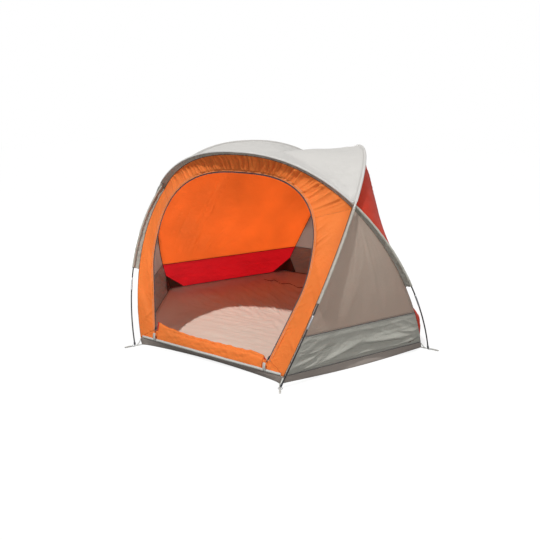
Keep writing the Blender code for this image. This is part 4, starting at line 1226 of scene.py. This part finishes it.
def build_poles():
    """Black glass-fibre sections, their bright ferrules and the dark end tips."""
    first = (HOOP_LENGTH - INNER_SECTIONS * SECTION_LENGTH) / 2
    joints = [first + i * SECTION_LENGTH for i in range(INNER_SECTIONS + 1)]
    ends = [TIP_START] + joints + [HOOP_LENGTH - TIP_START]
    for k, hoop in enumerate(HOOPS):
        for i, (a, b) in enumerate(zip(ends, ends[1:])):
            node = f"{hoop}_pole_section_{i + 1}"
            marks = [(s, POLE_RADIUS) for s in spread(a, b, max(6, round((b - a) / 0.02)))]
            dress(rounded_tube(node + "_rod", pole_rings(k, marks)), "pole_black", "pole_black", node)
            if i <= INNER_SECTIONS:
                tube = rounded_tube(node + "_ferrule", pole_rings(k, ferrule_marks(b)), 20)
                dress(tube, "steel", "pin_steel", node)
            for end, tip, away in ((1, a, 1), (2, b, -1)):
                if tip in (ends[0], ends[-1]):
                    marks = sorted((tip + away * s, radius) for s, radius in TIP_MARKS)
                    cap = rounded_tube(f"{hoop}_tip_{end}", pole_rings(k, marks), 20)
                    dress(cap, "slider_dark", "pole_black", node)


LOOP_LOW = 0.0011  # height of a stake loop's lower run
LOOP_THICKNESS, CORNER_THICKNESS = 0.0009, 0.0011
SOLE_RISE = 0.0022  # height at which the corner strap meets the ring


def pin_path(start, first):
    """The line of a foot pin of the front hoop: down out of the pole's end, then round in a ring on the ground."""
    base = pole_at(start)
    along = (pole_at(start + first * TIP_LENGTH) - base).normalized()
    heel = base - along * ((base.z - WIRE_RADIUS * 2) / along.z)
    path = [base + along * (PIN_REACH - TIP_START), base, heel + along * 0.004,
            heel + Vector((first * 0.0006, -first * 0.001, 0))]
    for turned in spread(0.0, math.radians(330), 33)[1:]:
        a = math.pi + turned
        path.append(heel + Vector((first * (1 + math.cos(a)), first * math.sin(a), 0.0)) * RING_RADIUS)
    return path


def build_feet():
    """Pins with their rings in the pole ends, and the webbing that ties each foot to the tent and the ground."""
    ring_end = FOOT_RADIUS + RING_RADIUS * 2
    far = ring_end + LOOP_LENGTH
    loop = [(FLOOR_RADIUS - 0.02, 0.0036), (FLOOR_RADIUS + 0.006, LOOP_LOW), (FOOT_RADIUS - 0.03, LOOP_LOW),
            (FOOT_RADIUS + 0.01, LOOP_LOW), (ring_end + 0.01, LOOP_LOW), (far - 0.008, LOOP_LOW),
            (far + 0.001, LOOP_RISE / 2), (far - 0.008, LOOP_RISE), (ring_end + 0.008, LOOP_RISE + 0.0008),
            (FOOT_RADIUS + RING_RADIUS * 1.2, LOOP_RISE - 0.001)]
    for leg in range(6):
        if leg % 2:
            k, path = (leg - 1) // 2 + 2, pin_path(HOOP_LENGTH - TIP_START, -1.0)
        else:
            k, path = leg // 2, pin_path(TIP_START, 1.0)
        path = [turn(p, k) for p in path]
        rings = [(p, way, WIRE_RADIUS, Vector((0.3, 0.4, 0.87))) for p, way in zip(path, directions(path))]
        pin = f"foot_pin_{leg + 1}"
        dress(rounded_tube(pin + "_wire", rings, 12), "steel", "pin_steel", pin)
        spin = Matrix.Rotation(SIXTH * leg, 3, "Z")
        side_way = spin @ Vector((0.0, 1.0, 0.0))
        corner = spin @ Vector((FLOOR_RADIUS, 0.0, 0.0))
        hold = corner.lerp(leg_seam(leg, S_HEM), 0.8) + spin @ Vector((0.0018, 0.0, 0.0))
        foot = spin @ Vector((FOOT_RADIUS - RING_RADIUS * 1.2, 0.0, SOLE_RISE))
        sag = spin @ Vector((-0.002, 0.0, -0.004))
        strap = [hold, hold.lerp(foot, 0.3) + sag * 0.7, hold.lerp(foot, 0.65) + sag, foot]
        webbing = (("stake_loop", [spin @ Vector((r, 0.0, z)) for r, z in loop], LOOP_THICKNESS),
                   ("corner_strap", strap, CORNER_THICKNESS))
        for name, points, thickness in webbing:
            flat_band(f"{name}_{leg + 1}", smooth_path(points), side_way, STRAP_WIDTH, thickness,
                      "webbing_grey", f"corner_webbing_{leg + 1}")


PATCH_WIDTH, PATCH_HEIGHT = 0.126, 0.14


def build_patches():
    """Dark reinforcements inside the rear corners, on the bands at both sides of each corner."""
    for leg in (0, 1, 2, 3):
        for side, other in (("a", leg + 1), ("b", leg - 1)):
            rows = []
            for v in spread(0.0, 1.0, 10):
                s = S_HEM + 0.004 + (0.50 * (S_BAND - S_HEM)) * v
                a, b = leg_seam(leg, s), leg_seam(other, s)
                wide = (PATCH_WIDTH - 0.006) * (1 - v) + 0.006
                way, inward = (b - a).normalized(), Vector((-(a + b).x, -(a + b).y, 0.35)).normalized()
                points = [a + way * (0.003 + wide * u) + inward * (0.0030 + 0.0012 * math.sin(3 * u))
                          for u in spread(0.0, 1.0, 10)]
                rows.append(points if side == "b" else points[::-1])
            obj = grid_object(f"corner_patch_{leg + 1}{side}", rows)
            dress(obj, "patch_brown", "floor_sheet")
            thicken(obj)


def rolled_seam(name, points, radius, finish, slot="sleeve_grey"):
    """The narrow rolled hem where panels are joined."""
    rings = [(p, way, radius * (1 + 0.12 * noise.noise(p * 40)), Vector((0.2, 0.3, 0.93)))
             for p, way in zip(points, directions(points))]
    dress(rounded_tube(name, rings, 8), finish, slot)


def build_seams():
    """Rolled seams between the panels, and the cloth covers where two hoops cross."""
    cut, reach = HOOP_LENGTH - S_CROSS, CROSS_CLEAR + 0.012
    cover = [(cut + reach * q, 0.0066 + 0.0024 * abs(q) ** 3) for q in spread(-1.0, 1.0, 20)]
    for k, hoop in enumerate(HOOPS):
        points = [turn(seam_at(s), k) for s in spread(S_HEM, HOOP_LENGTH - S_HEM, 260)]
        points = [p - Vector((p.x, p.y, 0.0)) * (0.0018 / max(0.3, p.xy.length)) for p in points]
        rolled_seam(f"{hoop}_wall_seam", points, 0.0024, "patch_brown")
        dress(rounded_tube(f"{hoop}_crossing_cover", pole_rings(k, cover), 20), "roof_grey", "roof_grey")
    for leg in (5, 0, 1, 2, 3):
        finish = "tape_dark" if leg % 2 else "patch_brown"
        rolled_seam(f"band_seam_{leg + 1}", bottom_line(leg, S_BAND, 60, 0.004, 0.996), 0.0021, finish)
    for leg in (0, 1, 2, 3, 5):
        rolled_seam(f"hem_seam_{leg + 1}", bottom_line(leg, S_HEM, 60, 0.004, 0.996), 0.0022, "tape_dark")
    for name, leg, share in (("left", 4, HEADER_SHARE), ("right", 5, 1 - HEADER_SHARE)):
        points = straight(leg_seam(leg, S_CROSS_IN), door_edge(share), 30)
        rolled_seam(f"{name}_header_seam", points, 0.0016, "shell_orange")


ZIP_MIDDLE = 0.0150  # distance of the teeth from the door's edge
TAPE_THICKNESS = 0.0008
TOOTH = {"Length": 0.0015, "Width": 0.0042, "Height": 0.0021}
# Across each strip: the way in from the door's edge and the way out of the wall
TAPE_PROFILE = ((0.0135, 0.0002), (0.006, 0.0), (0.0, -0.0006), (-0.004, -0.0009))
FACING_PROFILE = ((-0.0095, 0.0012), (-0.009, 0.0024), (-0.003, 0.0027), (0.0070, 0.0022), (0.0080, 0.0009))
FACING_STITCHES = ((-0.0045, 0.0031), (0.0060, 0.0026))


def zip_frame(share):
    """Place on the door's edge, the way along it and the way in."""
    along = (door_edge(min(share + 0.002, 1.0)) - door_edge(max(share - 0.002, 0.0))).normalized()
    return door_edge(share), along, along.cross(OUTWARD)


def build_zipper():
    """Tape round the door opening, its teeth, the facing sewn over its outer edge, and both stitch lines."""
    frames = [zip_frame(s) for s in spread(0.0, 1.0, 520)]
    tape = grid_object("zipper_tape", [[p + w * u + OUTWARD * v for p, _, w in frames] for u, v in TAPE_PROFILE])
    dress(tape, "tape_dark", "zipper_dark", "door_zipper")
    thicken(tape, TAPE_THICKNESS)
    teeth = [(p + w * ZIP_MIDDLE, OUTWARD) for p, _, w in frames]
    repeated("zipper_teeth", [teeth], "coil_grey", "zipper_dark", Pitch=settings().tooth_pitch, **TOOTH)
    rows = []
    for u, v in FACING_PROFILE:
        rows.append([p + w * u + OUTWARD * (v + 0.0004 * noise.noise(p * 30)) for p, _, w in frames])
    facing = grid_object("zipper_facing", finer(rows, 2))
    dress(facing, "shell_orange", "shell_orange")
    thicken(facing)
    return [[(p + w * u + OUTWARD * v, OUTWARD) for p, _, w in frames] for u, v in FACING_STITCHES]


def plate(bm, outline, y0, y1, bevel=0.0008):
    """A flat part with rounded edges: outline in x and z, from y0 to y1."""
    inner = [(x * (1 - bevel / max(abs(x), 0.003)), z * (1 - bevel / max(abs(z), 0.006))) for x, z in outline]
    rings = [[(x, y0, z) for x, z in inner], [(x, y0 + bevel, z) for x, z in outline],
             [(x, y1 - bevel, z) for x, z in outline], [(x, y1, z) for x, z in inner]]
    made = [[bm.verts.new(p) for p in ring] for ring in rings]
    faces = [made[0][::-1], made[-1]]
    for a, b in zip(made, made[1:]):
        faces += [(a[i], a[(i + 1) % len(a)], b[(i + 1) % len(a)], b[i]) for i in range(len(a))]
    for face in faces:
        bm.faces.new(face)


def bar(bm, points, radius, sides=10):
    """A bent round bar in a mesh under way."""
    rows = []
    for p, way in zip(points, directions(points)):
        side = Vector((1.0, 0.0, 0.0)) if abs(way.x) < 0.8 else Vector((0.0, 0.0, 1.0))
        rows.append([bm.verts.new(q) for q in ring(p, way, side, radius, sides)])
    for a, b in zip(rows, rows[1:]):
        for i in range(sides):
            bm.faces.new((a[i], a[(i + 1) % sides], b[(i + 1) % sides], b[i]))
    bm.faces.new(rows[0][::-1])
    bm.faces.new(rows[-1])


def finish_mesh(name, bm, where):
    """A small hard part from a mesh under way, smooth but for its edges."""
    bmesh.ops.transform(bm, matrix=where, verts=bm.verts)
    bmesh.ops.recalc_face_normals(bm, faces=bm.faces)
    obj = from_bmesh(name, bm)
    obj.data.shade_smooth()
    obj.data.set_sharp_from_angle(angle=math.radians(35))
    return obj


def oblong(half_width, tall, power, middle=0.0):
    """A rounded oblong in x and z. Its half width is a function of the sine of the way round."""
    outline = []
    for a in spread(0, 2 * math.pi, 28)[:-1]:
        c, s = math.cos(a), math.sin(a)
        x = math.copysign(half_width(s) * abs(c) ** power, c)
        outline.append((x, middle + tall * math.copysign(abs(s) ** power, s)))
    return outline


SLIDER_START = 0.016  # how far up the jamb the slider stands
BAIL = ((-0.0040, -0.0085), (-0.0078, -0.0062), (-0.0092, 0.0), (-0.0078, 0.0062), (-0.0040, 0.0085))


def slider_mesh():
    """A slider's two waisted plates, the post between them, its side lips and the bail over it."""
    outline = oblong(lambda s: 0.0061 * (0.80 + 0.20 * s ** 0.6) if s > 0 else 0.0050, 0.0108, 0.6)
    bm = bmesh.new()
    for y0, y1 in ((-0.0047, -0.0017), (0.0017, 0.0046)):
        plate(bm, outline, y0, y1)
    plate(bm, [(-0.0012, 0.004), (0.0012, 0.004), (0.0012, 0.010), (-0.0012, 0.010)], -0.0030, 0.0030, 0.0003)
    for edge in (-1, 1):
        lip = [(edge * x, z) for x, z in ((0.0050, -0.0085), (0.0060, -0.0085), (0.0060, 0.0), (0.0050, 0.0))]
        plate(bm, lip[::edge], -0.0040, -0.0008, 0.0002)
    bar(bm, smooth_path([Vector((0, y, z)) for y, z in BAIL], 5), 0.00085)
    return bm


def pull_mesh():
    """A pull: the ring through the bail, and the tab with its raised middle."""
    bm = bmesh.new()
    loop = [Vector((0.0033 * math.sin(a), 0.0, 0.0034 * math.cos(a) - 0.0030)) for a in spread(0.0, 2 * math.pi, 24)]
    bar(bm, loop, 0.0007, 8)
    tab = oblong(lambda s: 0.0036 if s < 0 else 0.0026, 0.0138, 0.5, -0.0200)
    plate(bm, tab, -0.0009, 0.0009, 0.0004)
    plate(bm, [(x * 0.55, -0.0215 + (z + 0.0200) * 0.62) for x, z in tab], -0.0013, 0.0013, 0.0004)
    return bm


def build_sliders():
    """Both zipper sliders with their pulls, at the foot of the jambs."""
    for side, name, foot, knee in ((1, "right", 1.0, 0.995), (-1, "left", 0.0, 0.005)):
        up = (door_edge(knee) - door_edge(foot)).normalized()
        way_in = up.cross(OUTWARD) * -side
        place = door_edge(foot) + up * SLIDER_START + way_in * ZIP_MIDDLE
        where = Matrix.Translation(place) @ Matrix((way_in * -side, -OUTWARD, up)).transposed().to_4x4()
        dress(finish_mesh(f"{name}_slider_body", slider_mesh(), where), "slider_dark", "slider_metal",
              f"{name}_slider", body=f"{name}_zip_slider")
        hang = where @ Matrix.Translation((0.0, -0.00875, 0.0))
        dress(finish_mesh(f"{name}_pull_tab", pull_mesh(), hang), "slider_dark", "slider_metal",
              f"{name}_pull", body=f"{name}_zip_pull")


# Stitch lines: the piece's grid, then the rows and the columns that are sewn
FRONT_LINES = (
    ("left_jamb", (), (-2,)), ("right_jamb", (), (1,)), ("header", (1,), ()), ("left_jamb", (), (1,)),
    ("right_jamb", (), (-2,)), ("header", (-2,), ()), ("left_jamb", (-2,), ()), ("right_jamb", (-2,), ()),
    ("sill", (1,), ()),
)
WALL_LINES = tuple((f"rear_{side}_wall", (1, -2), (1, -2)) for side in ("left", "right")) + tuple(
    (f"{side}_mesh", (1,), (1, -2)) for side in ("right", "rear", "left"))
BAND_LINES = tuple((f"{name}_band", (-2, -3, 1), ()) for name in ("right", "rear", "left", "rear_left", "rear_right"))


def sewn(made, table):
    lines = []
    for name, rows, columns in table:
        lines += [on_grid(made[name], j) for j in rows] + [beside(made[name], i) for i in columns]
    return lines


def build_stitches(made):
    """Every stitch line, one mesh for each group of pieces."""
    strips = [beside(rows, i, 0.0005) for rows in made["sleeves"].values() for i in (1, 7)]
    for name, lines, finish, slot, wide in (
        ("band_stitches", sewn(made, BAND_LINES), "thread_dark", "band_grey", 1.3),
        ("sleeve_stitches", strips, "thread_pale", "sleeve_grey", 1.0),
        ("door_stitches", made["zip"], "thread_pale", "zipper_dark", 1.0),
        ("front_stitches", sewn(made, FRONT_LINES), "thread_dark", "shell_orange", 1.0),
        ("binding_stitches", made["binding"], "thread_dark", "binding_grey", 0.9),
        ("wall_stitches", sewn(made, WALL_LINES), "thread_dark", "shell_red", 1.0),
    ):
        stitched(name, lines, finish, slot, wide)


# Studio
CAMERA_PLACE = (30.22, 14.08, 4.540)
CAMERA_WAY = (31.40, 16.57)
CAMERA_TARGET = Vector((0, 0, 0.6))
GROUND_HALF = 16
GROUND_WHITE = 0.80  # share of plain white that the camera sees in the ground
ROOM_LIGHT = 0.30  # what the white surroundings and the ground give to the object, of what the camera sees


def aim(azimuth, elevation):
    a, e = math.radians(azimuth), math.radians(elevation)
    return Vector((math.sin(a) * math.cos(e), -math.cos(a) * math.cos(e), math.sin(e)))


def build_camera():
    data = bpy.data.cameras.new("view")
    data.lens, data.sensor_width = 38.81, 36.0
    data.clip_end = 60.0
    camera = linked("view", data)
    camera.location = CAMERA_TARGET + aim(*CAMERA_PLACE[:2]) * CAMERA_PLACE[2]
    camera.rotation_euler = (-aim(*CAMERA_WAY)).to_track_quat("-Z", "Y").to_euler()
    bpy.context.scene.camera = camera


def lamp(name, kind, energy, place, way, **values):
    """A lamp at a place that shines along a way."""
    data = bpy.data.lights.new(name, kind)
    data.energy = energy
    for key, value in values.items():
        setattr(data, key, value)
    obj = linked(name, data)
    obj.location = place
    obj.rotation_euler = Vector(way).to_track_quat("-Z", "Y").to_euler()


def build_stage():
    """Pale ground, white surroundings, a sun through the door, and soft light from behind and in front."""
    mesh = bpy.data.meshes.new("ground")
    mesh.from_pydata([(x * GROUND_HALF, y * GROUND_HALF, 0) for x, y in ((-1, -1), (1, -1), (1, 1), (-1, 1))], [],
                     [(0, 1, 2, 3)])
    ground = linked("ground", mesh)
    mat, tree, shader = start_material("pale_ground")
    seen = add(tree, "ShaderNodeLightPath").outputs["Is Camera Ray"]
    fill(tree, shader, {"Roughness": 0.9, "Specular IOR Level": 0.1,
                        "Base Color": number(tree, "MULTIPLY_ADD", seen, 1 - ROOM_LIGHT, ROOM_LIGHT)})
    white = add(tree, "ShaderNodeEmission", {0: (1, 1, 1, 1)})
    mixed(tree, number(tree, "MULTIPLY", seen, GROUND_WHITE), shader.outputs[0], white.outputs[0])
    ground.data.materials.append(mat)
    world = bpy.data.worlds.new("white_room")
    bpy.context.scene.world = world
    world.use_nodes = True
    tree = world.node_tree
    rays = add(tree, "ShaderNodeLightPath").outputs
    direct = number(tree, "MAXIMUM", rays["Is Camera Ray"], rays["Is Glossy Ray"])
    direct = number(tree, "MAXIMUM", direct, rays["Is Transmission Ray"])
    fill(tree, tree.nodes["Background"], {
        "Strength": number(tree, "MULTIPLY_ADD", direct, 1 - ROOM_LIGHT, ROOM_LIGHT), "Color": (1, 1, 1, 1)})
    lamp("sun", "SUN", 2.55, (0, -4, 7), (0.09, 0.55, -1.0), angle=math.radians(2.0))
    for name, energy, place, way, size in (
        ("sky", 15.0, (0, 0, 4.5), (0.0, 0.0, -1.0), (6.0, 6.0)),
        ("side_fill", 42.0, (3.4, -1.9, 1.5), (-0.90, 0.50, -0.32), (2.6, 1.8)),
        ("back_glow", 85.0, (-2.5, 2.3, 0.75), (0.80, -0.75, -0.10), (2.2, 1.1)),
    ):
        lamp(name, "AREA", energy, place, way, shape="RECTANGLE", size=size[0], size_y=size[1])
    bpy.context.scene.view_settings.view_transform = "Standard"


# Operators, the panel and the run
BUILT = {}


class TENT_OT_camera(bpy.types.Operator):
    """Sets the camera of the photographed view"""
    bl_idname = "tent.camera"
    bl_label = "Camera"

    def execute(self, context):
        build_camera()
        return {"FINISHED"}


class TENT_OT_stage(bpy.types.Operator):
    """Lays the ground and sets the lights"""
    bl_idname = "tent.stage"
    bl_label = "Stage and lights"

    def execute(self, context):
        build_stage()
        return {"FINISHED"}


class TENT_OT_poles(bpy.types.Operator):
    """Makes the pole sections, ferrules and tips"""
    bl_idname = "tent.poles"
    bl_label = "Poles"

    def execute(self, context):
        build_poles()
        return {"FINISHED"}


class TENT_OT_sleeves(bpy.types.Operator):
    """Makes the cloth sleeves that hold the poles"""
    bl_idname = "tent.sleeves"
    bl_label = "Pole sleeves"

    def execute(self, context):
        BUILT["sleeves"] = build_sleeves()
        return {"FINISHED"}


class TENT_OT_roof(bpy.types.Operator):
    """Makes the roof panel"""
    bl_idname = "tent.roof"
    bl_label = "Roof"

    def execute(self, context):
        build_roof()
        return {"FINISHED"}


class TENT_OT_front(bpy.types.Operator):
    """Makes the jambs, the gathered header and the threshold"""
    bl_idname = "tent.front"
    bl_label = "Front wall"

    def execute(self, context):
        BUILT.update(build_front())
        BUILT["sill"] = build_threshold()
        return {"FINISHED"}


class TENT_OT_door(bpy.types.Operator):
    """Makes the door stowed along the threshold"""
    bl_idname = "tent.door"
    bl_label = "Stowed door"

    def execute(self, context):
        build_stowed_door()
        return {"FINISHED"}


class TENT_OT_walls(bpy.types.Operator):
    """Makes the closed walls, the mesh walls and the bands under them"""
    bl_idname = "tent.walls"
    bl_label = "Walls"

    def execute(self, context):
        BUILT.update(build_rear())
        BUILT.update(build_bands())
        BUILT.update(build_meshes())
        return {"FINISHED"}


class TENT_OT_floor(bpy.types.Operator):
    """Makes the tub floor and the corner reinforcements"""
    bl_idname = "tent.floor"
    bl_label = "Floor"

    def execute(self, context):
        build_floor()
        build_patches()
        return {"FINISHED"}


class TENT_OT_trims(bpy.types.Operator):
    """Makes the binding, the zipper, its sliders and the rolled seams"""
    bl_idname = "tent.trims"
    bl_label = "Zipper and trims"

    def execute(self, context):
        BUILT["binding"] = build_binding()
        BUILT["zip"] = build_zipper()
        build_sliders()
        build_seams()
        return {"FINISHED"}


class TENT_OT_feet(bpy.types.Operator):
    """Makes the foot pins and their webbing"""
    bl_idname = "tent.feet"
    bl_label = "Feet"

    def execute(self, context):
        build_feet()
        return {"FINISHED"}


class TENT_OT_stitches(bpy.types.Operator):
    """Sews the stitch lines along the seams"""
    bl_idname = "tent.stitches"
    bl_label = "Stitches"

    def execute(self, context):
        build_stitches(BUILT)
        return {"FINISHED"}


STEPS = (TENT_OT_camera, TENT_OT_stage, TENT_OT_poles, TENT_OT_sleeves, TENT_OT_roof, TENT_OT_front, TENT_OT_door,
         TENT_OT_walls, TENT_OT_floor, TENT_OT_trims, TENT_OT_feet, TENT_OT_stitches)


class TENT_PT_panel(bpy.types.Panel):
    """Lists the tent's sizes, colours and steps"""
    bl_idname = "TENT_PT_panel"
    bl_label = "Beach tent"
    bl_space_type = "VIEW_3D"
    bl_region_type = "UI"
    bl_category = "Tent"

    def draw(self, context):
        for group in (context.scene.tent_settings, context.scene.tent_colours):
            for key in group.__annotations__:
                self.layout.prop(group, key)
        for step in STEPS:
            self.layout.operator(step.bl_idname)


CLASSES = (TentSettings, TentColours, *STEPS, TENT_PT_panel)


def register():
    for item in CLASSES:
        bpy.utils.register_class(item)
    bpy.types.Scene.tent_settings = bpy.props.PointerProperty(type=TentSettings)
    bpy.types.Scene.tent_colours = bpy.props.PointerProperty(type=TentColours)


def unregister():
    del bpy.types.Scene.tent_colours
    del bpy.types.Scene.tent_settings
    for item in reversed(CLASSES):
        bpy.utils.unregister_class(item)


def main():
    register()
    for step in STEPS:
        getattr(bpy.ops.tent, step.bl_idname.split(".")[1])()


if __name__ == "__main__":
    main()
